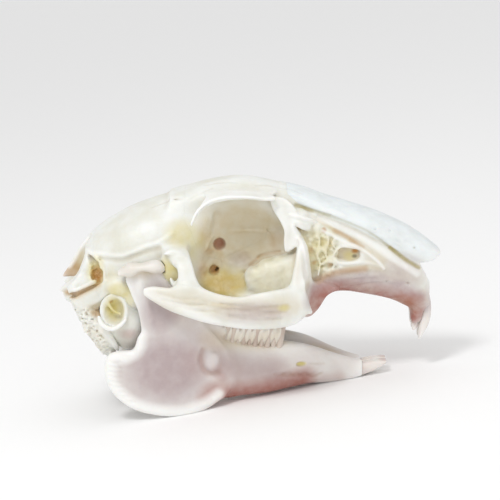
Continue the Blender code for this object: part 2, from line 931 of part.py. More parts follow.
def tooth_row(x_front, lengths, y_front, y_back, half_width, low, high):
    """A row of cheek teeth, each of two upright columns, as closed pieces from the front."""
    columns = []
    total = sum(lengths)
    x = x_front
    for length in lengths:
        for share in (0.25, 0.75):
            middle = x - length * share
            y = y_front + (y_back - y_front) * (x_front - middle) / total
            bm = bmesh.new()
            bmesh.ops.create_cone(bm, cap_ends=True, segments=8, radius1=1.0, radius2=1.0, depth=1.0)
            place = Matrix.Translation((middle, y, (low + high) / 2))
            bm.transform(place @ Matrix.Diagonal((length * 0.27, half_width, high - low, 1.0)))
            columns.append(object_from_bmesh("column", bm))
        x -= length
    return columns


def incisor(stations):
    """A gnawing tooth through (x, y, z, half width, half depth) stations."""
    return loft(stations, side=(0, 1, 0), up=(1, 0, 0.25), power=2.6, count=10, steps=1)


def lower_incisor(grow=0.0):
    """The right lower gnawing tooth, from inside its socket to its edge."""
    stations = [
        (67.0, -1.75, 5.9, 1.25, 1.35),
        (70.0, -1.7, 6.1, 1.3, 1.4),
        (73.0, -1.6, 6.9, 1.3, 1.3),
        (75.4, -1.5, 7.7, 1.25, 0.8),
        (76.7, -1.5, 8.1, 1.15, 0.35),
    ]
    return loft(grown(stations, grow), side=(0, 1, 0), up=(-0.2, 0, 1), power=2.6, count=10, steps=1)


def right_jaw():
    """The right jaw bone with its cheek teeth, cut flat at the middle line."""
    bone = fused("mandible_right", jaw_forms(), VOXEL_JAW, 4)
    across = box((0, -SUTURE_GAP / 2, -20), (100, 40, 60))
    bone = boolean(bone, [across, lower_incisor(MEETING_GAP)], "DIFFERENCE")
    bone = thinned(bone, JAW_TRIANGLES)
    teeth = tooth_row(53.6, (3.5, 3.5, 3.5, 3.3, 2.4), -6.4, -8.6, 1.6, 9.0, 18.9)
    return boolean(bone, teeth, "UNION")


def right_teeth():
    """The right gnawing teeth and peg tooth as named objects."""
    teeth = {
        "incisor_upper_right": incisor(upper_incisor_stations()),
        "peg_tooth_right": incisor(peg_tooth_stations()),
        "incisor_lower_right": lower_incisor(),
    }
    for name, tooth in teeth.items():
        tooth.name = name
    return list(teeth.values())


def skull_pieces():
    """Every bone and tooth, in millimetres in the skull's own frame."""
    pieces = cranium_bones()
    for piece in [right_jaw(), right_bulla()] + right_teeth():
        pieces += [piece, mirrored(piece, piece.name.replace("right", "left"))]
    return pieces


def extent(pieces):
    """The lowest and the highest corner of several pieces, from the points of their meshes."""
    points = np.array([vertex.co[:] for piece in pieces for vertex in piece.data.vertices])
    return points.min(axis=0), points.max(axis=0)


def stand_on_table(pieces):
    """Tips the skull onto its jaw, planes the three places where it rests and moves it to z = 0."""
    tip = Matrix.Rotation(math.radians(REST_TILT_DEG), 4, "Y")
    for piece in pieces:
        piece.data.transform(tip)
    low, high = extent(pieces)
    floor = low[2] + REST_FLAT_DEPTH
    resting = [piece for piece in pieces if piece.name.startswith("mandible")]
    for jaw in resting:
        pieces.remove(jaw)
        pieces.append(boolean(jaw, [box((-50, -50, floor - 20), (150, 50, floor))], "DIFFERENCE"))
    centre = (low + high) / 2
    move = Matrix.Diagonal((TO_METRES, TO_METRES, TO_METRES, 1.0))
    move @= Matrix.Translation((-centre[0], -centre[1], -floor))
    for piece in pieces:
        piece.data.transform(move)


def finish_of(name):
    """The name of the finish of a bone or tooth."""
    if "incisor" in name or "peg" in name:
        return ENAMEL[0]
    return JAW_BONE[0] if name.startswith("mandible") else BONE[0]


def main():
    """Makes the skull in a collection of its own."""
    clear_scene()
    pieces = skull_pieces()
    stand_on_table(pieces)
    materials = {finish[0]: make_material(finish) for finish in (BONE, JAW_BONE, ENAMEL)}
    skull = make_collection("rabbit_skull")
    for piece in pieces:
        for parent in list(piece.users_collection):
            parent.objects.unlink(piece)
        skull.objects.link(piece)
        piece.data.materials.clear()
        piece.data.materials.append(materials[finish_of(piece.name)])
        piece.data.shade_smooth()
        piece.data.set_sharp_from_angle(angle=math.radians(40))


if __name__ == "__main__":
    main()
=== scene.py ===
"""The looks of a domestic rabbit's skull with its lower jaw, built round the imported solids.

Each bone is sculpted as a distance field on a fine grid, from stations like those of the solids,
and then turned into a mesh. All shapes are in millimetres in the skull's own frame: X runs from the
nape to the nose, Y to the animal's left, Z up. The right half is sculpted and mirrored. Rest puts
the finished bones where the skull stands on its table.
"""

import json
import logging
import math
from dataclasses import dataclass, field
from enum import Enum
from typing import Callable, Protocol, Sequence

import bpy
import numpy as np
import openvdb
from mathutils import Matrix, Vector

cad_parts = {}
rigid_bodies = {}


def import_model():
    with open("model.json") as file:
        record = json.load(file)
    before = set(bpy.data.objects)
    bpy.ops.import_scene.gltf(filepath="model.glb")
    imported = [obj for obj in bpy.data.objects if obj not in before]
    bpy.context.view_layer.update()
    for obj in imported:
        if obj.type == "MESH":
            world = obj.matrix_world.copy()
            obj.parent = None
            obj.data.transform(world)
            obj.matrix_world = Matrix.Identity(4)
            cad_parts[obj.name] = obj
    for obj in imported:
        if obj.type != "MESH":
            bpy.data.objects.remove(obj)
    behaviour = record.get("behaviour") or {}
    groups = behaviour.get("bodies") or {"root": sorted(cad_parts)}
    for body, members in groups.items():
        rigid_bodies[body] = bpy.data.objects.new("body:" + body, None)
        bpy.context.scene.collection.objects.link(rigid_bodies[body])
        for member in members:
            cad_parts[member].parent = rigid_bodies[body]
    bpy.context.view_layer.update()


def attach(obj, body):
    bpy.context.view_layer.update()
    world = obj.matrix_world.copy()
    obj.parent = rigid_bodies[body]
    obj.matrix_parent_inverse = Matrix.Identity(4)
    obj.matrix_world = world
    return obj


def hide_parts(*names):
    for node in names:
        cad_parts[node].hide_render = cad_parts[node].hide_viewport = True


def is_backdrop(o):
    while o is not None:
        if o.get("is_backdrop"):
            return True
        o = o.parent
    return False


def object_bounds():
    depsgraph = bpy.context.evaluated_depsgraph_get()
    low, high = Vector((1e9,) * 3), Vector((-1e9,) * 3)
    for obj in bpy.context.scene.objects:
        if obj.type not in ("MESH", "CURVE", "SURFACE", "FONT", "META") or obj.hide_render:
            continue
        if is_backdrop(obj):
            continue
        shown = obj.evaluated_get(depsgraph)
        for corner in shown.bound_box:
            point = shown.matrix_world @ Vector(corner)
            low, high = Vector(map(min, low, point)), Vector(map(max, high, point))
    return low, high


log = logging.getLogger("rabbit_skull")

Point = tuple[float, float, float]
Flat = tuple[float, float]
Window = tuple[slice, slice, slice]

# How far from a skin its distances are kept, in millimetres.
BAND = 2.0
# The Y from which the skin of the right side is looked for, outside every bone.
OUTSIDE = -30.0
# Grid points over which a solid is evened out to find where its skin is hollow or stands out.
RELIEF_REACH = 3
# The difference from the evened solid, in millimetres, at which the painted shade of a hollow or the painted
# highlight of an edge shows in full.
HOLLOW_MM = 0.46
EDGE_MM = 0.5
# A separate bit of skin is dropped if it has less than this share of the largest one's points.
CRUMB_SHARE = 0.05
CRUMB_ROUNDS = 200
# The power with which a stain mark or painted light fades outwards.
FADE = 1.5
# Above 1, so that a spot stays full for a little way round its middle.
FULL = 1.15
# Stands for the distance from a side of the skull that doesn't bound a bone.
UNBOUNDED = np.float32(-99.0)


class Axis(Enum):
    """The two planes in which a plate's outline may be drawn."""

    SIDE = "XZ"
    TOP = "XY"


@dataclass(frozen=True)
class Rest:
    """How the skull's own frame lies in that of the table, whose origin is under the box's middle."""

    tilt_deg: float = 7.48
    middle_x: float = 48.7106
    floor_z: float = -4.7298
    metres: float = 0.001

    def matrix(self) -> Matrix:
        """The move from the skull's millimetres to the table's metres."""
        move = Matrix.Diagonal((self.metres, self.metres, self.metres, 1.0))
        move @= Matrix.Translation((-self.middle_x, 0.0, -self.floor_z))
        return move @ Matrix.Rotation(math.radians(self.tilt_deg), 4, "Y")

    def place(self, points: np.ndarray) -> np.ndarray:
        """Points of the skull's own frame in the table's frame."""
        move = np.array(self.matrix())
        return points @ move[:3, :3].T + move[:3, 3]


def eased(rows: Sequence[Sequence[float]], steps: int) -> np.ndarray:
    """Rows of numbers with more between each two, on a curve through them all.

    Args:
        rows: The rows that the curve goes through.
        steps: How many rows are made from each to the next.

    Returns:
        One row for each step and the last row.
    """
    table = np.array(rows, float)
    ends = np.vstack([2 * table[0] - table[1], table, 2 * table[-1] - table[-2]])
    made = []
    for i in range(len(table) - 1):
        a, b, c, d = ends[i : i + 4]
        for t in np.arange(steps) / steps:
            curve = 2 * b + (c - a) * t + (2 * a - 5 * b + 4 * c - d) * t * t
            made.append(0.5 * (curve + (3 * b - a - 3 * c + d) * t**3))
    return np.vstack([made, table[-1]])


def polygon_distance(u: np.ndarray, v: np.ndarray, outline: np.ndarray) -> np.ndarray:
    """The distance of points in a plane from a closed outline, negative inside.

    Args:
        u: First coordinates.
        v: Second coordinates, of a shape that broadcasts with u.
        outline: The outline's corners, one row each.

    Returns:
        The signed distances.
    """
    nearest = np.full(np.broadcast(u, v).shape, 1e9, np.float32)
    inside = np.zeros(nearest.shape, bool)
    for (u0, v0), (u1, v1) in zip(outline, np.roll(outline, -1, axis=0)):
        du, dv = u1 - u0, v1 - v0
        share = np.clip(((u - u0) * du + (v - v0) * dv) / (du * du + dv * dv + 1e-12), 0, 1)
        away = (u - u0 - share * du) ** 2 + (v - v0 - share * dv) ** 2
        nearest = np.minimum(nearest, away)
        crosses = (v0 > v) != (v1 > v)
        if v0 != v1:
            inside ^= crosses & (u < u0 + (v - v0) * du / dv)
    return np.where(inside, -1, 1) * np.sqrt(nearest)


class Clay:
    """A solid held as distances from its skin on a regular grid of points."""

    def __init__(self, low: Point, high: Point, pitch: float) -> None:
        """Makes an empty grid over a box, with a spacing in millimetres."""
        self.pitch = pitch
        self.first = np.floor(np.array(low) / pitch).astype(int)
        last = np.ceil(np.array(high) / pitch).astype(int)
        self.values = np.full(tuple(last - self.first + 1), BAND, np.float32)

    @classmethod
    def of(cls, values: np.ndarray, first: Sequence[int], pitch: float) -> "Clay":
        """A solid from its distances, the index of their first point and their spacing."""
        made = cls.__new__(cls)
        made.values, made.first, made.pitch = values, np.array(first), pitch
        return made

    def window(self, low: Sequence[float], high: Sequence[float]) -> Window:
        """The part of the grid that covers a box."""
        shape = np.array(self.values.shape)
        start = np.clip(np.floor(np.array(low) / self.pitch).astype(int) - self.first, 0, shape)
        stop = np.clip(np.ceil(np.array(high) / self.pitch).astype(int) - self.first + 1, 0, shape)
        return tuple(slice(int(a), int(b)) for a, b in zip(start, stop))

    def axes(self, window: Window) -> tuple[np.ndarray, np.ndarray, np.ndarray]:
        """The X, Y and Z of a window's points, as arrays that broadcast together."""
        lines = []
        for k, part in enumerate(window):
            line = (np.arange(part.start, part.stop) + self.first[k]) * self.pitch
            lines.append(line.astype(np.float32))
        return lines[0][:, None, None], lines[1][None, :, None], lines[2][None, None, :]

    def _shape_of(self, form: "Form") -> tuple[Window, np.ndarray]:
        """The part of the grid near a form and its distances there."""
        low, high = form.reach()
        window = self.window(np.array(low) - BAND, np.array(high) + BAND)
        return window, np.clip(form.distance(self, window), -BAND, BAND).astype(np.float32)

    def add(self, *forms: "Form", blend: float = 0.6) -> None:
        """Grows forms onto the solid, with a fillet about as wide as blend."""
        for form in forms:
            window, shape = self._shape_of(form)
            here = self.values[window]
            near = np.maximum(blend - np.abs(here - shape), 0.0) / blend
            self.values[window] = np.minimum(here, shape) - near * near * blend * 0.25

    def cut(self, *forms: "Form", blend: float = 0.3) -> None:
        """Takes forms out of the solid, with edges rounded by about blend."""
        for form in forms:
            window, shape = self._shape_of(form)
            here = self.values[window]
            near = np.maximum(blend - np.abs(here + shape), 0.0) / blend
            self.values[window] = np.maximum(here, -shape) + near * near * blend * 0.25

    def skin_y(self, x: float, z: float, start: float = OUTSIDE) -> float:
        """The Y where a line along +Y from start first meets the solid at that X and Z."""
        i, k = (round(value / self.pitch) - self.first[n] for n, value in ((0, x), (2, z)))
        i = min(max(i, 0), self.values.shape[0] - 1)
        k = min(max(k, 0), self.values.shape[2] - 1)
        line = self.values[i, :, k]
        places = (np.arange(len(line)) + self.first[1]) * self.pitch
        inside = np.nonzero((line < 0) & (places >= start))[0]
        if not len(inside) or inside[0] == 0:
            return float(places[inside[0]]) if len(inside) else start
        j = inside[0]
        share = line[j - 1] / (line[j - 1] - line[j])
        return float(places[j - 1] + share * self.pitch)

    def draped(
        self, places: Sequence[Flat], depth: float = 0.0, start: float = OUTSIDE
    ) -> list[Point]:
        """Side-view places laid on the skin that faces the right.

        Args:
            places: The (x, z) places.
            depth: How far below the skin the points go.
            start: The Y from which the skin is looked for.

        Returns:
            The points in space.
        """
        return [(x, self.skin_y(x, z, start) + depth, z) for x, z in places]

    def line(
        self, places: Sequence[Flat], radius: float, depth: float = 0.0, start: float = OUTSIDE
    ) -> "Rod":
        """A rod of one radius along side-view places on the skin, its ends thinner."""
        radii = [radius * 0.7, *[radius] * (len(places) - 2), radius * 0.7]
        return Rod(self.draped(places, depth, start), radii)

    def roughen(self, place: "Ball", depth: float, spacing: float, seed: int) -> None:
        """Makes the skin inside a ball uneven by up to depth, with bumps about spacing wide."""
        window = self.window(*place.reach())
        fade, finer, weaker = 1.2, 0.45, 0.6
        inside = np.clip(-place.distance(self, window) / fade, 0, 1)
        shape = self.values[window].shape
        noise = grain_field(shape, spacing / self.pitch, seed)
        noise += weaker * grain_field(shape, spacing * finer / self.pitch, seed + 1)
        self.values[window] += (noise * inside * depth).astype(np.float32)

    def mirrored(self) -> "Clay":
        """The whole solid, from a half that ends a little beyond Y 0."""
        middle = -self.first[1]
        half = self.values[:, : middle + 1]
        return Clay.of(np.concatenate([half, half[:, -2::-1]], axis=1), self.first, self.pitch)

    def sampled(self, values: np.ndarray, points: np.ndarray) -> np.ndarray:
        """An array on this grid read between its points.

        Args:
            values: The array, with the shape of the grid.
            points: The places, one row each.

        Returns:
            One number for each place.
        """
        place = points / self.pitch - self.first
        base = np.clip(np.floor(place).astype(int), 0, np.array(values.shape) - 2)
        part = np.clip(place - base, 0, 1)
        total = np.zeros(len(points))
        for corner in np.ndindex(2, 2, 2):
            weight = np.prod(np.where(corner, part, 1 - part), axis=1)
            i, j, k = (base + corner).T
            total += weight * values[i, j, k]
        return total

    def skin(self) -> tuple[np.ndarray, np.ndarray]:
        """The points and four-sided faces of the solid's skin, facing outwards."""
        grid = openvdb.FloatGrid(BAND)
        grid.transform = openvdb.createLinearTransform(voxelSize=self.pitch)
        grid.copyFromArray(self.values, ijk=tuple(int(n) for n in self.first))
        points, quads = grid.convertToQuads(0.0)
        return points.astype(float), quads[:, ::-1].astype(int)


def blurred(values: np.ndarray, reach: int) -> np.ndarray:
    """An array evened out by two running means of 2 * reach + 1 along each axis."""
    result = values
    for axis in (0, 1, 2, 0, 1, 2):
        pads = [(0, 0)] * 3
        pads[axis] = (reach + 1, reach)
        total = np.cumsum(np.pad(result, pads, mode="edge"), axis=axis, dtype=np.float64)
        count = result.shape[axis]
        upper = np.take(total, np.arange(2 * reach + 1, 2 * reach + 1 + count), axis=axis)
        lower = np.take(total, np.arange(count), axis=axis)
        result = ((upper - lower) / (2 * reach + 1)).astype(np.float32)
    return result


class Form(Protocol):
    """A simple shape that clay is added or cut with."""

    def reach(self) -> tuple[np.ndarray, np.ndarray]:
        """The lowest and highest corner of the form's box."""

    def distance(self, clay: Clay, window: Window) -> np.ndarray:
        """The distance of a window's points from the form's skin, negative inside."""


@dataclass(frozen=True)
class Ball:
    """A ball stretched to three radii and turned about X, Y and Z."""

    centre: Point
    radii: Point
    tilt_deg: Point = (0.0, 0.0, 0.0)

    def reach(self) -> tuple[np.ndarray, np.ndarray]:
        """The lowest and highest corner of the ball's box."""
        centre = np.array(self.centre)
        return centre - max(self.radii), centre + max(self.radii)

    def distance(self, clay: Clay, window: Window) -> np.ndarray:
        """The distance of a window's points from the ball, negative inside."""
        turn = Matrix.Rotation(math.radians(self.tilt_deg[2]), 3, "Z")
        turn @= Matrix.Rotation(math.radians(self.tilt_deg[1]), 3, "Y")
        turn @= Matrix.Rotation(math.radians(self.tilt_deg[0]), 3, "X")
        away = [line - at for line, at in zip(clay.axes(window), self.centre)]
        near, steep = 0.0, 0.0
        for k, radius in enumerate(self.radii):
            part = sum(away[n] * turn[n][k] for n in range(3)) / radius
            near = near + part * part
            steep = steep + (part / radius) ** 2
        near = np.sqrt(near)
        return near * (near - 1.0) / (np.sqrt(steep) + 1e-6)


@dataclass(frozen=True)
class Rod:
    """A round rod on a curve through points, with a radius at each."""

    points: Sequence[Point]
    radii: Sequence[float]
    steps: int = 4

    def reach(self) -> tuple[np.ndarray, np.ndarray]:
        """The lowest and highest corner of the rod's box."""
        points = np.array(self.points)
        return points.min(axis=0) - max(self.radii), points.max(axis=0) + max(self.radii)

    def distance(self, clay: Clay, window: Window) -> np.ndarray:
        """The distance of a window's points from the rod, negative inside."""
        x, y, z = clay.axes(window)
        rows = eased([(*point, radius) for point, radius in zip(self.points, self.radii)], self.steps)
        nearest = np.full(np.broadcast(x, y, z).shape, BAND * 2, np.float32)
        for first, second in zip(rows, rows[1:]):
            step = second[:3] - first[:3]
            along = (x - first[0]) * step[0] + (y - first[1]) * step[1] + (z - first[2]) * step[2]
            share = np.clip(along / (step @ step + 1e-9), 0, 1)
            away = (x - first[0] - share * step[0]) ** 2
            away = away + (y - first[1] - share * step[1]) ** 2
            away = away + (z - first[2] - share * step[2]) ** 2
            radius = first[3] + share * (second[3] - first[3])
            nearest = np.minimum(nearest, np.sqrt(away) - radius)
        return nearest


@dataclass(frozen=True)
class Loft:
    """A closed skin over rounded sections: (x, y, z, half side, half up) stations."""

    stations: Sequence[tuple[float, float, float, float, float]]
    side: Point = (0.0, 1.0, 0.0)
    up: Point = (0.0, 0.0, 1.0)
    power: float = 2.4
    count: int = 48
    steps: int = 6

    @classmethod
    def along_x(
        cls, stations: Sequence[tuple[float, float, float, float, float]], power: float = 2.6
    ) -> "Loft":
        """A loft along X from (x, y middle, half width, z low, z high) stations."""
        sections = [(x, y, (low + top) / 2, wide, (top - low) / 2) for x, y, wide, low, top in stations]
        return cls(sections, power=power, count=72)

    def grown(self, by: float) -> "Loft":
        """The same loft with larger sections."""
        stations = [(x, y, z, a + by, b + by) for x, y, z, a, b in self.stations]
        return Loft(stations, self.side, self.up, self.power, self.count, self.steps)

    def rings(self) -> np.ndarray:
        """The points of the sections, as rings of rows."""
        angle = np.arange(self.count) * 2 * math.pi / self.count
        c, s = np.cos(angle), np.sin(angle)
        a = np.sign(c) * np.abs(c) ** (2 / self.power)
        b = np.sign(s) * np.abs(s) ** (2 / self.power)
        side, up = (np.array(Vector(way).normalized()) for way in (self.side, self.up))
        rows = eased(self.stations, self.steps)
        across = rows[:, None, 3, None] * a[None, :, None] * side
        upward = rows[:, None, 4, None] * b[None, :, None] * up
        return rows[:, None, :3] + across + upward

    def reach(self) -> tuple[np.ndarray, np.ndarray]:
        """The lowest and highest corner of the loft's box."""
        points = self.rings().reshape(-1, 3)
        return points.min(axis=0), points.max(axis=0)

    def distance(self, clay: Clay, window: Window) -> np.ndarray:
        """The distance of a window's points from the loft, negative inside."""
        rings = self.rings()
        count, length = self.count, len(rings)
        index = np.arange(length * count).reshape(length, count)
        ahead = np.roll(index, -1, axis=1)
        quads = np.stack([index[:-1], ahead[:-1], ahead[1:], index[1:]], axis=-1).reshape(-1, 4)
        caps = []
        for ring, centre in ((0, length * count), (length - 1, length * count + 1)):
            middle = np.full(count, centre)
            caps.append(np.stack([index[ring], ahead[ring], middle], axis=-1))
        points = np.vstack([rings.reshape(-1, 3), rings[0].mean(axis=0), rings[-1].mean(axis=0)])
        grid = openvdb.FloatGrid.createLevelSetFromPolygons(
            points.astype(np.float32), triangles=np.vstack(caps).astype(np.uint32),
            quads=quads.astype(np.uint32), transform=openvdb.createLinearTransform(voxelSize=clay.pitch),
            halfWidth=BAND / clay.pitch,
        )
        values = np.zeros([part.stop - part.start for part in window], np.float32)
        start = tuple(int(clay.first[k] + part.start) for k, part in enumerate(window))
        grid.copyToArray(values, ijk=start)
        return values


@dataclass(frozen=True)
class Plate:
    """A thin bone of even thickness inside a rounded outline, bent by lift(u, v)."""

    outline: Sequence[Flat]
    thickness: float
    plane: Axis
    lift: Callable[[np.ndarray, np.ndarray], np.ndarray]
    edge: float = 0.4

    def corners(self) -> np.ndarray:
        """The outline with more points between its own."""
        closed = [*self.outline, self.outline[0]]
        return eased(closed, 4)[:-1]

    def reach(self) -> tuple[np.ndarray, np.ndarray]:
        """The lowest and highest corner of the plate's box."""
        corners = self.corners()
        third = np.array([float(self.lift(u, v)) for u, v in corners])
        low, high = corners.min(axis=0), corners.max(axis=0)
        if self.plane is Axis.SIDE:
            lows = (low[0], third.min() - self.thickness, low[1])
            highs = (high[0], third.max() + self.thickness, high[1])
        else:
            lows = (low[0], low[1], third.min() - self.thickness)
            highs = (high[0], high[1], third.max() + self.thickness)
        return np.array(lows), np.array(highs)

    def distance(self, clay: Clay, window: Window) -> np.ndarray:
        """The distance of a window's points from the plate, negative inside."""
        x, y, z = clay.axes(window)
        u, v, w = (x, z, y) if self.plane is Axis.SIDE else (x, y, z)
        flat = polygon_distance(u, v, self.corners()) + self.edge
        thick = np.abs(w - self.lift(u, v)) - self.thickness / 2 + self.edge
        outside = np.hypot(np.maximum(flat, 0), np.maximum(thick, 0))
        return outside + np.minimum(np.maximum(flat, thick), 0) - self.edge


def steps_between(value: np.ndarray, knots: Sequence[Flat]) -> np.ndarray:
    """Straight interpolation through (place, value) knots."""
    return np.interp(value, [knot[0] for knot in knots], [knot[1] for knot in knots])


def grain_field(shape: Sequence[int], spacing: float, seed: int) -> np.ndarray:
    """Smooth seeded noise from -1 to 1 on a grid.

    Args:
        shape: The grid's shape.
        spacing: How many grid points lie between two of the noise's own.
        seed: The seed of the noise.

    Returns:
        The noise, with the grid's shape.
    """
    counts = [int(n / spacing) + 4 for n in shape]
    values = np.random.default_rng(seed).uniform(-1, 1, counts).astype(np.float32)
    for axis, n in enumerate(shape):
        place = np.arange(n) / spacing
        base = place.astype(int)
        part = (place - base).astype(np.float32)
        part = part * part * (3 - 2 * part)
        ways = [1] * 3
        ways[axis] = n
        part = part.reshape(ways)
        lower, upper = np.take(values, base, axis=axis), np.take(values, base + 1, axis=axis)
        values = lower + (upper - lower) * part
    return values


@dataclass(frozen=True)
class Region:
    """The part of the cranium that is one bone: its node and its outline in side view."""

    node: str
    outline: tuple[Flat, ...]
    paired: bool = True


class Tint(Enum):
    """The tints laid on the bones, as attribute names: marks of old grease and thin bone, and in places
    painted shade, painted reflection of reddish bounce light and painted highlight.
    """

    BEIGE = "beige"
    BLUSH = "blush"
    ROSE = "rose"
    AMBER = "amber"
    OCHRE = "ochre"
    OLIVE = "olive"
    PALE = "pale"
    DARK = "dark"


class StainAndPaintedLight(Protocol):
    """A tinted place on the right side, which the left side repeats: in some places a stain mark, in others
    painted shade, painted reflection or painted highlight.
    """

    tint: Tint

    def share(self, points: np.ndarray) -> np.ndarray:
        """How strong the tint is at each point, from 0 to 1."""


@dataclass(frozen=True)
class Spot:
    """A round patch of tint with three radii, for a stain mark or for painted light."""

    tint: Tint
    centre: Point
    radii: Point
    strength: float = 1.0

    def share(self, points: np.ndarray) -> np.ndarray:
        """How strong the tint is at each point, from 0 to 1."""
        away = (((points - self.centre) / self.radii) ** 2).sum(axis=1)
        return np.clip(FULL - FULL * away, 0, 1) ** FADE * self.strength


@dataclass(frozen=True)
class Streak:
    """A tint along a line of places in side view, on whatever skin lies there, for a stain mark or for
    painted light.
    """

    tint: Tint
    places: Sequence[Flat]
    width: float
    strength: float = 1.0
    room: Flat = (OUTSIDE, -1.0)

    def share(self, points: np.ndarray) -> np.ndarray:
        """How strong the tint is at each point, from 0 to 1."""
        line = eased(self.places, 3)
        nearest = np.full(len(points), 1e9)
        for first, second in zip(line, line[1:]):
            step = second - first
            away = points[:, (0, 2)] - first
            along = np.clip(away @ step / (step @ step + 1e-9), 0, 1)
            nearest = np.minimum(nearest, np.hypot(*(away - along[:, None] * step).T))
        share = np.clip(1.0 - (nearest / self.width) ** 2, 0, 1) ** FADE
        low = np.clip(points[:, 1] - self.room[0], 0, 1)
        high = np.clip(self.room[1] - points[:, 1], 0, 1)
        return share * self.strength * low * high


def linked(name: str, data: bpy.types.ID) -> bpy.types.Object:
    """A new object in the scene."""
    made = bpy.data.objects.new(name, data)
    bpy.context.scene.collection.objects.link(made)
    return made


def piece_from_skin(
    name: str,
    clay: Clay,
    values: np.ndarray,
    first: np.ndarray,
    spots: Sequence[StainAndPaintedLight],
    rest: Rest,
    relief: np.ndarray,
) -> bpy.types.Object:
    """A finished piece from the skin of an array on a part of a grid.

    Args:
        name: The name of the node that the piece stands for.
        clay: The whole solid that the array was cut from.
        values: The array of distances.
        first: The index of the array's first point.
        spots: The stain marks and painted light on the piece.
        rest: The move to the table's frame.
        relief: How hollow the skin is, on the whole solid's grid.

    Returns:
        The piece in the scene, with its attributes.
    """
    points, quads = without_crumbs(*Clay.of(values, first, clay.pitch).skin())
    points = relaxed(points, quads, 2)
    mesh = bpy.data.meshes.new(name)
    mesh.from_pydata(rest.place(points), [], quads)
    mesh.validate()
    mesh.shade_smooth()
    amounts = {tint.value: np.zeros(len(points)) for tint in Tint}
    own = points.copy()
    own[:, 1] = -np.abs(own[:, 1])
    for spot in spots:
        amounts[spot.tint.value] = np.maximum(amounts[spot.tint.value], spot.share(own))
    # Painted shade in the skin's hollows and painted highlight on its edges, from how far the skin lies from
    # the evened solid.
    bent = clay.sampled(relief, points)
    amounts["hollow"] = np.clip(-bent / HOLLOW_MM, 0, 1)
    amounts["edge"] = np.clip(bent / EDGE_MM, 0, 1)
    for key, amount in amounts.items():
        layer = mesh.attributes.new(key, "FLOAT", "POINT")
        layer.data.foreach_set("value", amount.astype(np.float32))
    return linked(name + "_skin", mesh)


def without_crumbs(points: np.ndarray, quads: np.ndarray) -> tuple[np.ndarray, np.ndarray]:
    """A skin without its small separate bits."""
    label = np.arange(len(points))
    edges = np.vstack([quads[:, (0, 1)], quads[:, (1, 2)], quads[:, (2, 3)]])
    for _ in range(CRUMB_ROUNDS):
        lowest = label[edges].min(axis=1)
        ahead = label.copy()
        np.minimum.at(ahead, edges[:, 0], lowest)
        np.minimum.at(ahead, edges[:, 1], lowest)
        ahead = ahead[ahead]
        if (ahead == label).all():
            break
        label = ahead
    sizes = np.bincount(label, minlength=len(points))
    kept = sizes[label] >= sizes.max() * CRUMB_SHARE
    number = np.cumsum(kept) - 1
    return points[kept], number[quads[kept[quads[:, 0]]]]


def relaxed(points: np.ndarray, quads: np.ndarray, rounds: int) -> np.ndarray:
    """Points each moved halfway to the mean of their neighbours, a number of times."""
    edges = np.vstack([quads[:, (0, 1)], quads[:, (1, 2)], quads[:, (2, 3)], quads[:, (3, 0)]])
    count = np.bincount(edges[:, 0], minlength=len(points))
    count = count + np.bincount(edges[:, 1], minlength=len(points))
    for _ in range(rounds):
        total = np.zeros_like(points)
        for k in range(3):
            total[:, k] = np.bincount(edges[:, 0], points[edges[:, 1], k], len(points))
            total[:, k] += np.bincount(edges[:, 1], points[edges[:, 0], k], len(points))
        points = 0.5 * points + 0.5 * total / np.maximum(count, 1)[:, None]
    return points


def supraorbital_height(x: np.ndarray, y: np.ndarray) -> np.ndarray:
    """The Z of the shelf over the orbit."""
    edge = ((31, 43.2), (32.5, 46), (34.4, 48), (36.7, 49.2), (40, 49.9), (44, 50), (50, 49.2))
    share = np.clip((-y - 4.0) / 9.0, 0, 1)
    return (1 - share) * 50.8 + share * steps_between(x, edge) - 0.3


def jaw_bend(x: np.ndarray, z: np.ndarray) -> np.ndarray:
    """The Y of the middle of the right jaw's plate, which turns inwards in an even curve."""
    early = np.clip(x - 21.0, 0, 12.0) ** 2 / 24.0
    return -(15.6 - 0.33 * (early + np.maximum(x - 33.0, 0)) + 0.045 * (20.0 - z))


JAW_HEAD = Loft((
    (14.4, -15.4, 32.6, 1.2, 0.6), (16.6, -15.7, 33.4, 1.9, 1.5), (18, -15.8, 33.6, 2, 1.5),
    (20, -15.8, 34.1, 2, 0.95), (22.6, -15.7, 34.2, 2.2, 1.5), (24.2, -15.5, 34, 1.8, 1.3),
    (25.2, -15.4, 33.6, 0.9, 0.6),
), power=2.2)
EAR_CAPSULE = Ball((15, -9, 20.4), (5.6, 4.7, 6.2), (0, 12, 0))
EAR_TUBE = Loft((
    (14.6, -8, 21.8, 4.2, 4.4), (13.8, -11.6, 23, 3.8, 4.1), (13.1, -14.2, 23.6, 3.2, 3.8),
), side=(1, 0, 0), up=(0, 0.2, 1), power=2.0)
UPPER_INCISOR = Loft((
    (86.1, -1.65, 25.2, 1.25, 1.15), (86.6, -1.65, 22.4, 1.3, 1.25), (86.6, -1.65, 19.4, 1.3, 1.3),
    (86.1, -1.65, 16.8, 1.25, 1.15), (85.5, -1.65, 15, 1.2, 0.65), (85.2, -1.65, 13.9, 1.1, 0.3),
), up=(1, 0, 0.25), power=2.6)
PEG_TOOTH = Loft((
    (84.3, -1.3, 20.4, 0.7, 0.8), (84.2, -1.3, 18.4, 0.75, 0.9), (84.1, -1.3, 16.9, 0.7, 0.8),
    (84, -1.3, 15.9, 0.55, 0.45),
), up=(1, 0, 0.25), power=2.6)
LOWER_INCISOR = Loft((
    (67, -1.75, 5.9, 1.25, 1.35), (70, -1.75, 6.1, 1.45, 1.5), (73, -1.7, 6.9, 1.5, 1.45),
    (75.8, -1.6, 7.8, 1.4, 0.95), (77.4, -1.5, 8.3, 1.2, 0.4),
), up=(-0.2, 0, 1), power=2.8)


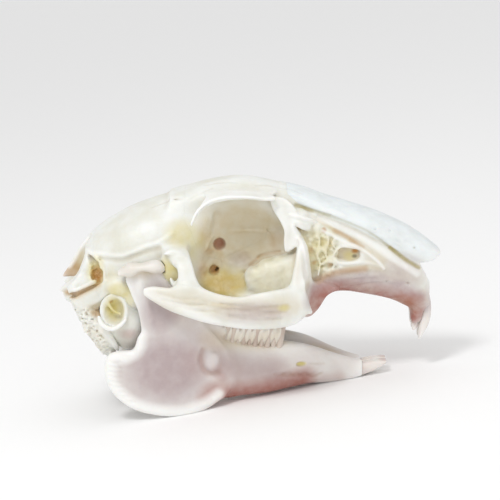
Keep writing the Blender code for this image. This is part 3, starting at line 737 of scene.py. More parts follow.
def stain_and_light_marks(
    spots: dict[Tint, Sequence[tuple]], streaks: dict[Tint, Sequence[tuple]] | None = None
) -> list[StainAndPaintedLight]:
    """Marks of stain and painted light from rows of what a Spot or a Streak takes after its tint.

    Args:
        spots: The rows of the spots: centre, radii and strength.
        streaks: The rows of the streaks: places, width, strength and, where it is bounded, room.

    Returns:
        The marks.
    """
    made: list[StainAndPaintedLight] = [Spot(tint, *row) for tint, rows in spots.items() for row in rows]
    return made + [Streak(tint, *row) for tint, rows in (streaks or {}).items() for row in rows]


NASAL_GROOVE = (
    (55.3, 47.2), (63.3, 44.6), (70.3, 41.8), (73.9, 39.7), (77.5, 36.8), (81.1, 33.9), (84.5, 31.8),
)
STRIP_LINE = (
    (59.4, 44.3), (61.5, 43.1), (64.5, 41.1), (66.9, 39.8), (68.8, 38.6), (70.9, 37.1), (73, 35.6),
)
JAW_RIM = (
    (19.4, 18), (18.6, 14.8), (15.6, 13), (12.9, 12.6), (12.2, 8), (14.4, 4.2), (18.5, 1.4), (23.9, 0),
    (29.5, -0.2), (33.8, 1), (37.4, 3.2),
)
JAW_FOOT = ((36.6, 2.6), (40, 2.2), (46, 2.6), (52, 3.4), (57, 4.6))
CRANIUM_STAINS_AND_PAINTED_LIGHT = stain_and_light_marks(
    spots={
        Tint.AMBER: (
            # The second spot gives the bulge in the orbit its cream colour, and is made stronger low down as
            # painted light over its shade.
            ((38.4, -8, 28.2), (8.6, 8, 5.4), 1.0), ((50, -12, 30.4), (8, 6.4, 7), 0.62),
            ((29.2, -11.6, 41), (5.4, 6, 4.6), 0.6), ((31.5, -9, 37.6), (3.4, 4, 6), 0.5),
            ((26.6, -14.9, 33.4), (3.8, 2.6, 4.4), 1.0), ((9, -11, 32.2), (3, 4, 4.6), 0.9),
            ((14.8, -14, 28), (4.6, 4, 3), 0.8), ((12.4, -13, 31), (3, 3, 4), 0.25),
            ((16.8, -13, 26.6), (2.8, 3.2, 3.4), 0.55), ((14.9, -11, 14.8), (0.9, 3, 1.9), 0.9),
            ((60.5, -8.4, 36.5), (6.6, 3.4, 8), 0.5), ((68.2, -6.6, 34.9), (2.2, 3, 1.6), 0.6),
            ((52.4, -21, 25.6), (1.9, 2.2, 1.1), 0.7),
        ),
        Tint.OCHRE: (
            ((38, -8, 28.4), (7, 7, 3.8), 0.35), ((33.6, -8, 31), (1.8, 5, 3.4), 0.35),
            ((50.6, -6, 38.6), (2.4, 3.6, 3.6), 0.2), ((35.2, -6.4, 36), (1.8, 3, 1.2), 0.3),
            ((37.2, -3.6, 37.2), (2.1, 3.6, 2.1), 0.3), ((36.3, -5, 31.2), (1.6, 3.4, 1.6), 0.85),
            ((9.1, -10.6, 31.2), (1.9, 3, 2.9), 1.0), ((9.6, -11.6, 22.4), (2.6, 3, 1.5), 0.45),
            ((1.4, 0, 29.6), (3, 5, 2.6), 0.5), ((2.4, -2.2, 30.4), (3, 3, 3.4), 0.5),
            ((69.3, -6.6, 36.1), (1.1, 3, 0.9), 1.0), ((61.9, -7.8, 41.3), (0.8, 2, 0.9), 0.9),
            ((59, -7.4, 36.6), (1, 2, 1.1), 0.5), ((59.6, -7.4, 33.6), (0.8, 2, 0.8), 0.5),
            ((63.4, -7.2, 33.2), (0.9, 2, 1.1), 0.5), ((81.6, -3.6, 22.8), (6, 5, 4), 0.2),
        ),
        Tint.BEIGE: (
            ((34.6, -7.6, 38.5), (3.8, 6, 9), 0.9), ((43.6, -5, 40), (17, 7.2, 13), 0.8),
            ((36, -6, 34), (7, 7, 8), 0.9), ((9.6, -11.8, 23.2), (4.2, 3.6, 2.6), 0.8),
            ((3.4, -2.4, 32.4), (3.6, 3.4, 6.4), 1.0), ((8.6, -10, 17), (5.4, 6, 8.6), 0.3),
            ((67.2, -6.4, 35.6), (3.8, 3.4, 2.2), 0.8), ((79, -5.6, 31), (8, 4, 6.4), 0.3),
            ((74, -6.8, 34.4), (4.6, 3, 3), 0.35), ((62.6, -7.4, 38), (2.2, 2.4, 3), 0.4),
            ((56.6, -13, 31), (4, 8, 10), 0.45),
        ),
        # The second and third spots are painted reflection of reddish light bounced onto the snout's lower
        # side; the last is painted shade in the arch's groove.
        Tint.BLUSH: (
            ((42.4, -5, 33.8), (3.6, 3, 2.6), 0.35), ((80, -5.6, 30), (8, 4, 6.4), 0.55),
            ((85.6, -2.6, 24), (3, 4, 6.4), 0.6), ((46, -21.6, 24.6), (11, 2.6, 3.4), 0.6),
        ),
        # The second spot is painted shade and painted reflection of reddish bounce light under the snout.
        Tint.ROSE: (
            ((37.4, -3.6, 37.4), (2, 3.6, 2), 0.85), ((79.8, -3.8, 23.4), (9, 5.4, 5), 1.0),
            ((60, -8.6, 25), (3.4, 3.4, 5), 0.7),
        ),
        # The first spot is painted light that lifts the shaded lower part of the bulge in the orbit.
        Tint.PALE: (((50.6, -13.4, 31), (7.4, 4.4, 5.6), 0.42), ((33, -10.8, 34.4), (2, 5, 4.6), 0.5)),
        # Painted shade: dark patches in the cavity beside the shield, in the notch beneath the shield and in
        # the lattice's large gap.
        Tint.DARK: (
            ((9.3, -10.8, 34.3), (0.9, 2, 0.4), 0.7), ((1.4, -2.8, 28.4), (1.8, 2.2, 1.2), 0.5),
            ((69.2, -6.4, 34.8), (0.8, 2.4, 0.6), 0.8),
        ),
    },
    streaks={
        Tint.OCHRE: (
            (((44.6, 32.4), (46.4, 34), (47.6, 34.9), (51.7, 35.9)), 0.5, 0.3, (-9, -2)),
            # Painted shadow along the groove under the shield.
            (((9.5, 29.4), (7.6, 28.4), (5.8, 27.4), (4, 26.5), (1.6, 26)), 0.9, 0.45, (-15, -4)),
            (NASAL_GROOVE[-3:], 0.6, 0.35, (-14, -4)), (STRIP_LINE[2:6], 0.9, 0.4),
            (((60.6, 29.4), (62.6, 30.4), (65.3, 31.2), (68.1, 31.6), (71.7, 31.9)), 1.2, 0.45),
        ),
        Tint.BEIGE: (
            # Painted shadow along the groove under the shield.
            (((9.5, 29.4), (7.6, 28.4), (5.8, 27.4), (4, 26.5), (1.6, 26)), 1.5, 0.7, (-15, -4)),
            (STRIP_LINE, 0.7, 0.75), (((68.8, 38.4), (72, 36.6), (76, 33.6)), 2.0, 0.5),
            (((62.6, 30.2), (67, 31.4), (72, 32.2), (76, 32)), 1.7, 0.5),
            # The next three streaks are painted shade along the arch's shallow groove.
            (((36, 26.6), (41, 25.7), (47, 25.5), (53, 26.2)), 1.3, 0.75, (OUTSIDE, -19.0)),
            (((24, 27.6), (33, 27), (42, 25.6), (54, 26)), 3.8, 0.46, (OUTSIDE, -17.0)),
            (((39, 24.4), (44, 23.9), (50, 24.2)), 0.8, 0.35, (OUTSIDE, -19.0)),
        ),
        # This streak and the rose one below are painted reflection of reddish light bounced from below, with
        # painted shade, along the snout's lower side.
        Tint.BLUSH: ((((59.6, 27), (63.5, 28.4), (68, 29), (74, 29), (80, 27.6), (84, 24.6)), 3.6, 0.85),),
        Tint.ROSE: (
            (
                ((60, 23.4), (61.5, 25.4), (65, 26), (70, 25), (76, 24), (81, 22), (83.6, 20)), 4.8, 1.0,
                (-12, -1),
            ),
        ),
        Tint.OLIVE: (
            (NASAL_GROOVE[:2], 0.6, 0.55, (-14, -4.4)), (NASAL_GROOVE[1:5], 0.45, 0.4, (-14, -4.4)),
            (NASAL_GROOVE[-3:], 0.7, 0.75, (-14, -4)),
        ),
        Tint.PALE: (
            (
                ((31.2, 43.7), (32.4, 46.3), (34.3, 48.2), (36.7, 49.4), (40, 50), (44, 50), (47.6, 49.6)),
                0.8, 0.9, (OUTSIDE, -12.6),
            ),
            (
                ((54.4, 46.5), (55.5, 43), (55.4, 39.6), (54.2, 37.4), (56.8, 38.8), (57.4, 35), (57.2, 31)),
                1.8, 0.9, (OUTSIDE, -9.6),
            ),
            (((61.6, 41.2), (66.4, 38.6), (70.7, 36.8), (74.7, 33.6), (76.1, 31.9)), 0.5, 0.8),
            (((55.3, 45.4), (60, 44), (66, 42), (72, 38.6), (78, 34.4), (84, 30.4)), 1.1, 0.7),
            (((6, 38.2), (4.2, 35.9), (3.2, 34), (1.8, 31.7)), 1.2, 0.9, (-3, 2)),
            (((20.6, 28.9), (23.4, 27.8), (27.5, 26.6), (32, 24.4), (37, 22)), 1.6, 0.6, (OUTSIDE, -18.0)),
        ),
    },
)
JAW_STAINS_AND_PAINTED_LIGHT = stain_and_light_marks(
    spots={
        Tint.AMBER: (((56.8, -7.6, 9.1), (1.6, 2, 0.7), 1.0),),
        # The second spot is painted shade on the inner faces of the jaw near the chin.
        Tint.BEIGE: (((19.6, -15.8, 33.6), (8, 4.4, 3), 0.3), ((61, 0, 12), (11, 3.2, 6), 0.8)),
        # The first two spots are painted reflection of reddish bounce light, the mauve of the jaw's plate.
        Tint.BLUSH: (
            ((25.6, -16, 10), (15, 6, 13), 1.0), ((24, -16, 24), (6, 6, 10), 0.9),
            ((67, -3, 7), (6, 3, 4), 0.12),
        ),
        # Painted highlight on the knob of the plate.
        Tint.PALE: (((35.9, -14.4, 11.6), (2.6, 3, 3.2), 0.4), ((36.2, -14.4, 11.9), (1.3, 3, 1.6), 0.3)),
    },
    streaks={
        Tint.BEIGE: ((((35, 16.4), (42, 15.4), (48, 15.4), (54, 16)), 3.4, 0.45),),
        # Painted reflection of reddish bounce light on the plate's lower part.
        Tint.BLUSH: ((((33, 12), (42, 9), (50, 8)), 5.0, 0.7),),
        # The first, second and fifth streaks are painted reflection of reddish bounce light and painted
        # shade along the jaw's lower edge; the third and last are painted shadow below and beside the knob.
        Tint.ROSE: (
            (JAW_FOOT, 5.4, 1.0), (((54, 4.4), (60, 4.6), (66, 5)), 2.2, 0.3),
            (((36.8, 9.6), (38.2, 6.6), (37.6, 3.4)), 2.4, 0.4), (((28, 24), (33, 19), (37, 14)), 3.6, 0.2),
            (((34, 12), (42, 8), (50, 6.6), (56, 6.4)), 7.0, 0.18),
            (((33.6, 14), (33.2, 11.6), (34.2, 9), (36.6, 8.2)), 1.1, 0.35),
        ),
        Tint.PALE: ((JAW_RIM, 2.4, 0.95, (OUTSIDE, -13.0)),),
    },
)
EAR_STAINS_AND_PAINTED_LIGHT = stain_and_light_marks(
    spots={
        Tint.AMBER: (((13.2, -13.4, 23.8), (3, 3.4, 4), 1.0),),
        Tint.OCHRE: (((12.4, -12.8, 25.4), (0.8, 1.6, 0.6), 0.6),),
        # Painted shade and painted reflection of reddish bounce light on the capsule's lower side.
        Tint.BLUSH: (((17, -12, 16.6), (4.4, 6, 4.6), 0.35),),
        Tint.ROSE: (((16.6, -12.6, 18), (3.4, 4, 1.8), 0.4),),
    },
    streaks={
        Tint.PALE: (
            (
                ((9.9, 21.4), (11.4, 19.8), (13, 19.4), (14.8, 20.2), (16.2, 21.8), (15.9, 24.6)), 1.0, 1.0,
                (OUTSIDE, -14.4),
            ),
        )
    },
)
TOOTH_STAINS = stain_and_light_marks(
    spots={
        Tint.BLUSH: (((86.4, -1.6, 22.4), (3, 3, 4.6), 0.6), ((71, -1.8, 6.4), (3.6, 2.4, 2.4), 0.35)),
        Tint.ROSE: (((84.2, -1.4, 18.6), (1.4, 2.4, 2.6), 0.4), ((76.8, -1.6, 9), (1.8, 2.4, 0.9), 0.45)),
    }
)


@dataclass
class Sculpture:
    """A half of clay that is sculpted on its right side and mirrored."""

    rest: Rest
    pitch: float = 0.25
    low: Point = (0, 0, 0)
    high: Point = (0, 0, 0)
    clay: Clay = field(init=False)

    def __post_init__(self) -> None:
        """Makes the empty grid."""
        self.clay = Clay(self.low, self.high, self.pitch)

    def whole(self) -> tuple[Clay, np.ndarray, tuple[np.ndarray, np.ndarray, np.ndarray]]:
        """Both halves of the solid, how hollow its skin is, and the X, Y and Z of its points."""
        whole = self.clay.mirrored()
        every = tuple(slice(0, n) for n in whole.values.shape)
        return whole, blurred(whole.values, RELIEF_REACH), whole.axes(every)


@dataclass
class Cranium(Sculpture):
    """The skull without its jaw: one sculpted solid, parted along the sutures into bones."""

    # How far a bone goes on under its neighbour past their suture, in millimetres.
    suture_lap: float = 0.6
    # The room round the jaw's head, half of it round the teeth, and how far bone laps the ear capsule.
    meeting_gap: float = 0.25
    # The Y beyond which the cheek bone's outline takes bone from its neighbours.
    arch_side: float = 16.2
    low: Point = (-2, -24, 8)
    high: Point = (93, 1.5, 55)

    def add_core(self) -> None:
        """The braincase, the roof between the eyes, the wall between the orbits and the snout."""
        clay = self.clay
        braincase = Loft.along_x((
            (2.2, 0, 4.6, 27, 32), (3.6, 0, 7.2, 25.4, 34.8), (6.4, 0, 9.6, 24.2, 38.6),
            (10, 0, 11.5, 23.4, 41.8), (15, 0, 12.9, 23, 44.8), (20, 0, 13.2, 23.2, 47),
            (26, 0, 12.2, 24, 48.9), (31, 0, 10.2, 25.4, 50.2), (36, 0, 7.4, 27, 51.2),
        ), power=2.25)
        roof = Loft.along_x((
            (26, 0, 8, 42.5, 49.4), (31, 0, 8.2, 43.5, 50.8), (37, 0, 7.2, 44, 52.3),
            (43, 0, 6.8, 43, 52.9), (49, 0, 7.6, 42, 51.9), (55, 0, 8.2, 40, 50.4), (60, 0, 8, 38, 48.9),
        ))
        septum = Loft.along_x((
            (26, 0, 6, 27, 44), (32, 0, 4.4, 27.5, 46), (38, 0, 3, 27.5, 47), (46, 0, 2.8, 26, 46),
            (54, 0, 4.5, 24, 46), (59, 0, 7, 23.5, 46),
        ))
        snout = Loft.along_x((
            (54, 0, 7.4, 24.5, 50.4), (60, 0, 8.5, 24, 48.4), (66, 0, 8, 25.4, 45.6),
            (72, 0, 7.2, 24.7, 43), (78, 0, 6.5, 23.5, 39.6), (82.5, 0, 6, 21.5, 36.2),
            (85.4, 0, 5.3, 20.6, 33.4), (87.2, 0, 4.2, 21.4, 30.4),
        ), power=2.8)
        nasals = Loft.along_x((
            (52, 0, 6.6, 46, 51.3), (57, 0, 7.6, 45, 50.2), (62, 0, 7.9, 43, 48.4), (68, 0, 7.7, 40, 46.6),
            (74, 0, 7.2, 37, 44.7), (80, 0, 6.5, 33.4, 42.2), (84, 0, 5.8, 31.6, 39.9),
            (87.4, 0, 4.8, 31.6, 37.4), (89.2, 0, 3.6, 32.4, 36), (90, 0, 2.4, 33.4, 35),
        ), power=2.3)
        muzzle = Loft((
            (81.6, 0, 31, 5, 5.6), (83.4, 0, 28, 3.9, 5.2), (84.6, 0, 24.8, 3.1, 4.7),
            (85, 0, 21.8, 2.5, 4.1), (84.8, 0, 19.8, 2.1, 3.5), (84.8, 0, 18, 1.9, 2.9),
        ), side=(0.94, 0, 0.34), up=(0, 1, 0), power=2.6)
        base = Loft.along_x((
            (3, 0, 4, 24.2, 30), (10, 0, 4.2, 22.4, 30), (20, 0, 3.6, 23, 30), (30, 0, 3, 25, 31),
            (38, 0, 2.6, 26, 31),
        ))
        sockets = Loft.along_x((
            (39.6, -7.6, 1.6, 23, 28), (42, -8.4, 3.2, 22.2, 31), (48, -9, 3.8, 21.6, 34),
            (54, -8.9, 3.9, 21.4, 35.6), (58.4, -7.9, 3.3, 21.8, 34), (61, -6, 2.6, 23.8, 32),
        ))
        squamosal = Ball((20, -8.6, 34), (9, 5, 6.4), (0, -6, 0))
        clay.add(braincase, roof, septum, snout, blend=1.2)
        clay.add(nasals, muzzle, blend=0.5)
        clay.add(base, sockets, squamosal, blend=1.2)

    def cut_orbit(self) -> None:
        """The domed right orbit, its floor and the room behind it."""
        clay = self.clay
        wall = Loft.along_x((
            (29, 0, 7, 30, 47), (36, 0, 6.2, 27, 48.5), (46, 0, 6, 28, 48.5), (58, 0, 7, 27, 48),
        ), power=3.0)
        floor = Rod(((33, -4.6, 28.6), (38, -5.4, 27.4), (44, -6.4, 26.2)), (2.6, 3.2, 3.2))
        clay.add(wall, floor, blend=1.6)
        dome = Ball((43.4, -15, 39.6), (11.2, 11.4, 10.2), (0, 6, 0))
        lower_dome = Ball((41.6, -15.6, 34.6), (11.6, 11.2, 8.2), (0, -6, 0))
        lower_orbit = Ball((36.4, -16.4, 31.6), (5.6, 10.6, 6.6))
        clay.cut(dome, lower_dome, lower_orbit, blend=1.6)

    def add_cheek(self) -> None:
        """The shelf over the orbit, the root of the cheek, the arch, the strut and the tear bone."""
        clay = self.clay
        shelf = Plate((
            (31, -13.9), (33.4, -13), (37, -13.3), (41.5, -13.5), (45.6, -13.1), (48.4, -12.6),
            (50.6, -11.4), (49.6, -9.4), (50.6, -6), (42, -3.6), (35.4, -5.6), (34.2, -9.6),
        ), 0.85, Axis.TOP, supraorbital_height)
        bulge = Plate((
            (44, 27.8), (43.6, 30.4), (45, 32.4), (46.6, 33), (48, 34), (49.6, 34.2), (50.8, 34.9),
            (53, 35.1), (55.2, 35.4), (56.4, 33), (56, 28), (50, 26.2),
        ), 8.0, Axis.SIDE, lambda x, z: -9.2 + 0.10 * np.abs(x - 50.0), edge=2.0)
        lobes = (
            Ball((45.8, -9, 31), (2.3, 3.4, 2)), Ball((48.8, -9.4, 32.4), (2.4, 3.5, 2.3)),
            Ball((51.4, -9.6, 33), (2.4, 3.4, 2.4)), Ball((54, -9.6, 33.4), (2.4, 3.4, 2.4)),
            Ball((54.8, -12.2, 29.6), (2.4, 3.4, 4.4)),
        )
        root = Loft((
            (58.2, -4, 31, 3, 8), (57.4, -9, 31.6, 2.2, 8.2), (56.4, -13, 31.6, 1.3, 7.6),
            (55.8, -16, 30, 1.2, 6.4), (55.4, -18, 27.4, 1.7, 5), (54.8, -19.4, 25.4, 1.8, 3.6),
        ), side=(1, 0, 0))
        spine = Rod(((56.4, -18.2, 27), (57.6, -17.8, 24.8), (58.6, -17.2, 23.8)), (1.5, 1.1, 0.5))
        arch = Loft.along_x((
            (20.4, -18.7, 0.7, 28.2, 29.7), (22.6, -18.9, 1, 26.7, 30.2), (26.5, -19.5, 1.15, 24.6, 30),
            (31, -20.1, 1.2, 23.1, 30.7), (34, -20.4, 1.2, 22.2, 30), (37.5, -20.5, 1.2, 21.5, 28.8),
            (42, -20.6, 1.2, 20.8, 28.1), (46, -20.3, 1.3, 20.5, 28.8), (50.5, -19.7, 1.6, 20.6, 29.5),
            (54, -18.8, 1.8, 21.1, 30.1), (57, -17, 1.9, 22.6, 31),
        ), power=3.0)
        strut_root = Loft((
            (26.6, -8.6, 37.4, 4.2, 2), (27.2, -12.5, 37.6, 3.2, 1.5), (28, -15.2, 37, 2.3, 1.3),
            (28.8, -17.2, 35.4, 1.8, 1.3),
        ), side=(1, 0, 0))
        notch_wall = Plate((
            (24.8, 37.2), (26.6, 38.2), (29.4, 37.4), (30.6, 33), (31, 29.4), (28.8, 28.6), (27.6, 29.2),
            (26.8, 30.2), (26.3, 31.6), (26.7, 31.9), (27.6, 31), (28.7, 33), (28.8, 35), (27.6, 36.8),
            (25.8, 37),
        ), 1.7, Axis.SIDE, lambda x, z: -17.6 + 0.22 * (z - 30.0))
        notch_back = Ball((27, -14.4, 33.2), (3.4, 1.7, 4.4))
        strut = Loft((
            (28.8, -15.6, 36.9, 1.8, 1.2), (29.8, -17.6, 34.8, 1.8, 1.2), (30.4, -19, 31.8, 2.2, 1.2),
            (30.8, -19.9, 28.2, 3.8, 1.2),
        ), side=(1, 0, 0), up=(0, 0.9, 0.3))
        arch_groove = Rod((
            (35, -22.6, 26.4), (40, -22.9, 25), (46, -22.7, 24.6), (50, -22.3, 24.9), (53.6, -21.4, 25.6),
        ), (0.6, 1.3, 1.4, 1.2, 0.6))
        tear_bone = Plate((
            (49, 49.4), (52.6, 49), (55.4, 46.4), (55.2, 44.2), (54.9, 42.4), (55.2, 40.6), (56.2, 39.2),
            (55, 37.6), (53, 36.7), (52.5, 39), (52.6, 41.4), (51.6, 43.8), (50, 46.4),
        ), 1.3, Axis.SIDE, lambda x, z: -(9.0 + 0.14 * (50.0 - z)), edge=0.2)
        front_wall = Plate((
            (57.4, 29), (61.5, 29), (65.7, 27.4), (63.8, 26.4), (62.5, 25.4), (61.2, 23.4), (60, 21.9),
            (58.8, 20.9), (57.4, 20.8), (56.4, 22),
        ), 2.4, Axis.SIDE, lambda x, z: -8.4 + 0.1 * (x - 57.0), edge=0.6)
        rim_places = (
            (31.2, -13.9, 43.7), (32.4, -13.7, 46.3), (34.3, -13.5, 48.2), (36.7, -13.6, 49.4),
            (40, -13.9, 50), (44, -13.8, 50), (47.6, -13.4, 49.6),
        )
        rim = Rod(rim_places, (0.28, 0.38, 0.4, 0.4, 0.4, 0.4, 0.3))
        clay.add(shelf, blend=1.0)
        clay.add(rim, blend=0.5)
        clay.add(bulge, *lobes, blend=1.0)
        clay.add(root, spine, arch, strut_root, strut, notch_back, front_wall, blend=1.4)
        clay.add(Ball((56.2, -8.5, 42.8), (2.6, 1.9, 3.8)), blend=1.2)
        clay.add(tear_bone, blend=0.6)
        clay.add(notch_wall, blend=0.5)
        clay.cut(arch_groove, blend=1.0)
        for height, first, last in (
            (26.9, 34, 46), (26.2, 38, 51), (25.5, 35, 47), (24.9, 41, 53), (24.2, 37, 48), (23.4, 40, 52),
            (28.2, 24, 33), (26.8, 25, 35), (25.4, 28, 38),
        ):
            middle = (first + last) / 2
            scratch = clay.line((
                (first, height + 0.5), (middle, height - 0.4), (last, height - 0.3),
            ), 0.26, 0.02)
            clay.cut(scratch, blend=0.5)
        clay.cut(Ball((47.2, -13.9, 50.5), (0.5, 1.4, 0.7)), blend=0.2)

    def add_base(self) -> None:
        """The underside and back: pterygoid, mastoid and nape."""
        clay = self.clay
        pterygoid = Plate((
            (27, 28), (30.6, 22.6), (32.6, 20.8), (34.6, 21.2), (36.4, 24), (37.4, 29.5), (31, 31),
        ), 1.3, Axis.SIDE, lambda x, z: -4.3 - 0.1 * (30.0 - z))
        mastoid = Loft((
            (4.6, -7.6, 31.5, 2.2, 2.6), (5.2, -8.8, 26.5, 3, 3.2), (7.2, -9.6, 21.5, 3, 3.1),
            (9.2, -9.9, 17, 2.6, 2.7), (11.2, -9.8, 13.4, 1.9, 2), (12.2, -9.4, 11.6, 1, 1),
        ), side=(1, 0, 0), up=(0, 1, 0))
        ear_shelf = Ball((8.6, -10.2, 27.6), (4.4, 2.6, 4.2), (0, 20, 0))
        condyle = Ball((2.8, -4.4, 26), (2.3, 2.2, 3), (20, 0, 20))
        shield = Loft((
            (7.2, 0, 37.4, 3, 1), (5.2, 0, 34.2, 5, 1.1), (3.2, 0, 30.8, 5.6, 1), (1.8, 0, 28.6, 5, 0.8),
        ), side=(0, 1, 0), up=(0.85, 0, -0.5), power=3.2)
        shield_side = Plate((
            (6.9, 36.4), (5.8, 33.2), (4.5, 30.4), (2.5, 28.3), (0.5, 26.9), (3.4, 26.3), (6.6, 27.2),
            (9, 28.6), (9.4, 31), (7.8, 33.4),
        ), 1.8, Axis.SIDE, lambda x, z: -5.0 - 0.42 * (x - 0.6))
        shield_hollow = Rod((
            (6.2, -2.7, 37.6), (4.9, -2.8, 34.6), (3.3, -2.8, 31.4), (1.5, -2.7, 28.6),
        ), (1.6, 2.1, 2.2, 1.9))
        shield_room = Plate((
            (-4, 41), (3.6, 39.6), (5.6, 37.6), (6.2, 35), (5.5, 33), (4.3, 30.5), (2.5, 28.6), (0.4, 27.2),
            (-4, 26),
        ), 10.4, Axis.SIDE, lambda x, z: np.full_like(x, -7.0))
        middle_crest = Plate((
            (6.4, 38.4), (4.4, 36), (3.4, 34.2), (2, 31.9), (0.7, 29.9), (-0.2, 28.4), (2, 28), (6, 31),
            (8, 35),
        ), 2.6, Axis.SIDE, lambda x, z: np.full_like(x, -0.5))
        shield_ridge = Rod((
            (6.8, -5, 36.6), (6.5, -5.4, 35), (5.9, -5.6, 33), (4.7, -5.6, 30.3), (2.9, -5.5, 28.3),
            (0.9, -5, 26.9), (0.2, -4.7, 26.4),
        ), (0.4, 0.65, 0.7, 0.7, 0.65, 0.6, 0.5))
        clay.add(pterygoid, mastoid, ear_shelf, condyle, shield, blend=0.9)
        clay.cut(shield_hollow, blend=0.8)
        clay.cut(shield_room, blend=0.5)
        clay.add(shield_ridge, shield_side, middle_crest, blend=0.5)

    def add_rear_details(self) -> None:
        """The cavity beside the shield, the blade under it, the pitted mastoid and the crest."""
        clay = self.clay
        cavity = Rod((
            (7.6, -9, 35.3), (8.6, -10.6, 34), (9.3, -11.5, 32.2), (9.2, -12.1, 30.6), (8.2, -12.5, 29.4),
        ), (0.8, 1.4, 1.8, 1.6, 0.9))
        cavity_rim = Rod((
            (7, -8.5, 36.2), (8.4, -10.2, 35.7), (9.9, -11.5, 34.5), (10.9, -12, 32.5), (11, -12.2, 30.3),
            (11.8, -12.4, 28.4),
        ), (0.3, 0.4, 0.45, 0.45, 0.45, 0.3))
        blade = Plate((
            (11.6, 30.6), (8.2, 28.4), (4.2, 26), (3.8, 24.6), (6.4, 23.2), (10.8, 26), (12.4, 27.8),
        ), 1.6, Axis.SIDE, lambda x, z: -11.6 - 0.06 * (x - 4.0))
        blade_hollow = Ball((9, -13.6, 22.9), (2.4, 1.7, 1.5), (0, 28, 0))
        under_shield = clay.line(((9.5, 29.5), (7.6, 28.5), (5.8, 27.5), (4, 26.6), (2.2, 26)), 0.8)
        shield_lip = clay.line(
            ((9.8, 30.4), (7.8, 29.6), (5.8, 28.6), (3.8, 27.8), (1.8, 27.3)), 0.5, -0.25,
        )
        clay.cut(cavity, under_shield, blend=0.3)
        clay.add(cavity_rim, shield_lip, blend=0.4)
        clay.add(blade, blend=0.4)
        clay.cut(blade_hollow, blend=0.6)
        random = np.random.default_rng(11)
        chips, pits, bead_share = 16, 650, 0.35
        for _ in range(chips):
            x, z = random.uniform(7.4, 10.4), random.uniform(29.6, 34.8)
            y = clay.skin_y(x, z)
            clay.add(Ball((x, y + 0.1, z), tuple(random.uniform(0.28, 0.6, 3))), blend=0.25)
        clay.roughen(Ball((8.6, -10.4, 17.4), (4.6, 6, 8.2), (0, -18, 0)), 0.24, 0.9, 21)
        clay.roughen(Ball((8.8, -10.8, 32), (3, 3.4, 4.6)), 0.3, 1.2, 22)
        for _ in range(pits):
            x, z = random.uniform(3, 12.6), random.uniform(11.6, 23.2)
            y = clay.skin_y(x, z)
            if y > -5.0:
                continue
            size = random.uniform(0.16, 0.34)
            if random.random() < bead_share:
                clay.add(Ball((x, y + 0.1, z), (size, 0.35, size)), blend=0.2)
            else:
                clay.cut(Ball((x, y, z), (size, 0.42, size * 0.8)), blend=0.2)
        crest = clay.line((
            (6.4, 36.5), (8.7, 36.2), (11.1, 36.2), (14.7, 36.1), (17.7, 37.1), (20.5, 38.2), (23.5, 39.1),
            (27, 41.2),
        ), 0.34)
        under_crest = clay.line(
            ((10, 35.3), (14.7, 35.1), (17.9, 36.1), (20.8, 37.2), (23.8, 38)), 0.4, -0.3,
        )
        clay.cut(under_crest, blend=0.8)
        clay.add(crest, blend=0.7)

    def add_ear_surround(self) -> None:
        """The spur below the ear."""
        spur = Rod((
            (9.8, -12.6, 19.6), (11.2, -13, 17.8), (12.8, -12.9, 15.6), (14.4, -12.4, 13.6),
            (15.3, -12, 12.7),
        ), (0.5, 0.8, 0.8, 0.7, 0.4))
        self.clay.add(spur, blend=0.7)

    def fill_round_ear(self) -> None:
        """The bone round the ear's opening."""
        above = Ball((14.6, -12, 28.6), (3.8, 2.4, 2.6), (0, 10, 0))
        behind = Ball((10.6, -11, 17), (2.4, 2.2, 4.6), (0, -24, 0))
        ahead = Ball((17.8, -11.6, 26.4), (2.8, 2.6, 3.2))
        self.clay.add(above, behind, ahead, blend=1.0)

    def carve_lattice(self) -> None:
        """The cheek wall's field of fine struts, with the large gap near its front."""
        clay = self.clay
        places = {
            "brow": ((54, 45.2), (55.6, 44.9), (57.5, 44.2), (59.8, 43.4), (61.6, 42.6)),
            "ridge": ((54.4, 43.9), (57.7, 43.1), (59.4, 42.8)),
            "root": (
                (54.4, 42.6), (54.9, 41.4), (55.8, 40), (56.7, 38.8), (57.1, 37.2), (57.4, 34.9),
                (58.1, 31.5),
            ),
            "upper": ((61.6, 41.2), (64.3, 39.9), (66.4, 38.6), (68.5, 38.3)),
            "middle": ((66.2, 37.5), (68.5, 37.3), (70.7, 36.7), (72.8, 35.2), (74.7, 33.5), (76.1, 31.9)),
            "lower": (
                (61.6, 33.2), (62.7, 34), (64.6, 33.7), (66.9, 33.3), (69.3, 33.4), (71.4, 33.5),
                (73.8, 32.9), (76.1, 31.9),
            ),
            "back": ((64.2, 33.9), (64.1, 35.2), (65, 36.7), (66.3, 37.4)),
            "cross_a": ((62.4, 40.8), (62.9, 38.6), (62.2, 36.2), (62.9, 34.2)),
            "cross_b": ((64.6, 39.7), (63.9, 37.9), (65, 36.7)), "cross_c": ((66.9, 38.3), (66.5, 37.5)),
            "cross_d": ((60.4, 41), (60.9, 38.5), (60.2, 35.8), (61, 33.4), (60.6, 30.8)),
            "cross_e": ((60.4, 36.4), (61.4, 36.8), (62.6, 36)),
            "cross_h": ((64.6, 33.7), (63.9, 32), (62.4, 31.2)),
        }
        widths = {"brow": 0.55, "root": 0.5, "middle": 0.5, "lower": 0.42, "upper": 0.4, "ridge": 0.3}
        rods = [clay.line(line, widths.get(name, 0.3), 0.05) for name, line in places.items()]
        field_line = (
            (55.2, 42.6), (57.5, 41.4), (60.5, 40.7), (63.3, 40.4), (66.2, 38.9), (68.5, 38.1),
            (70.9, 36.4), (73.3, 34.5), (74.6, 32.9), (71.6, 32.6), (66.9, 32.5), (64.6, 31.3),
            (62.2, 30.2), (60.3, 29.2), (59.2, 30), (58.8, 33), (58.2, 37), (56.8, 40.2),
        )
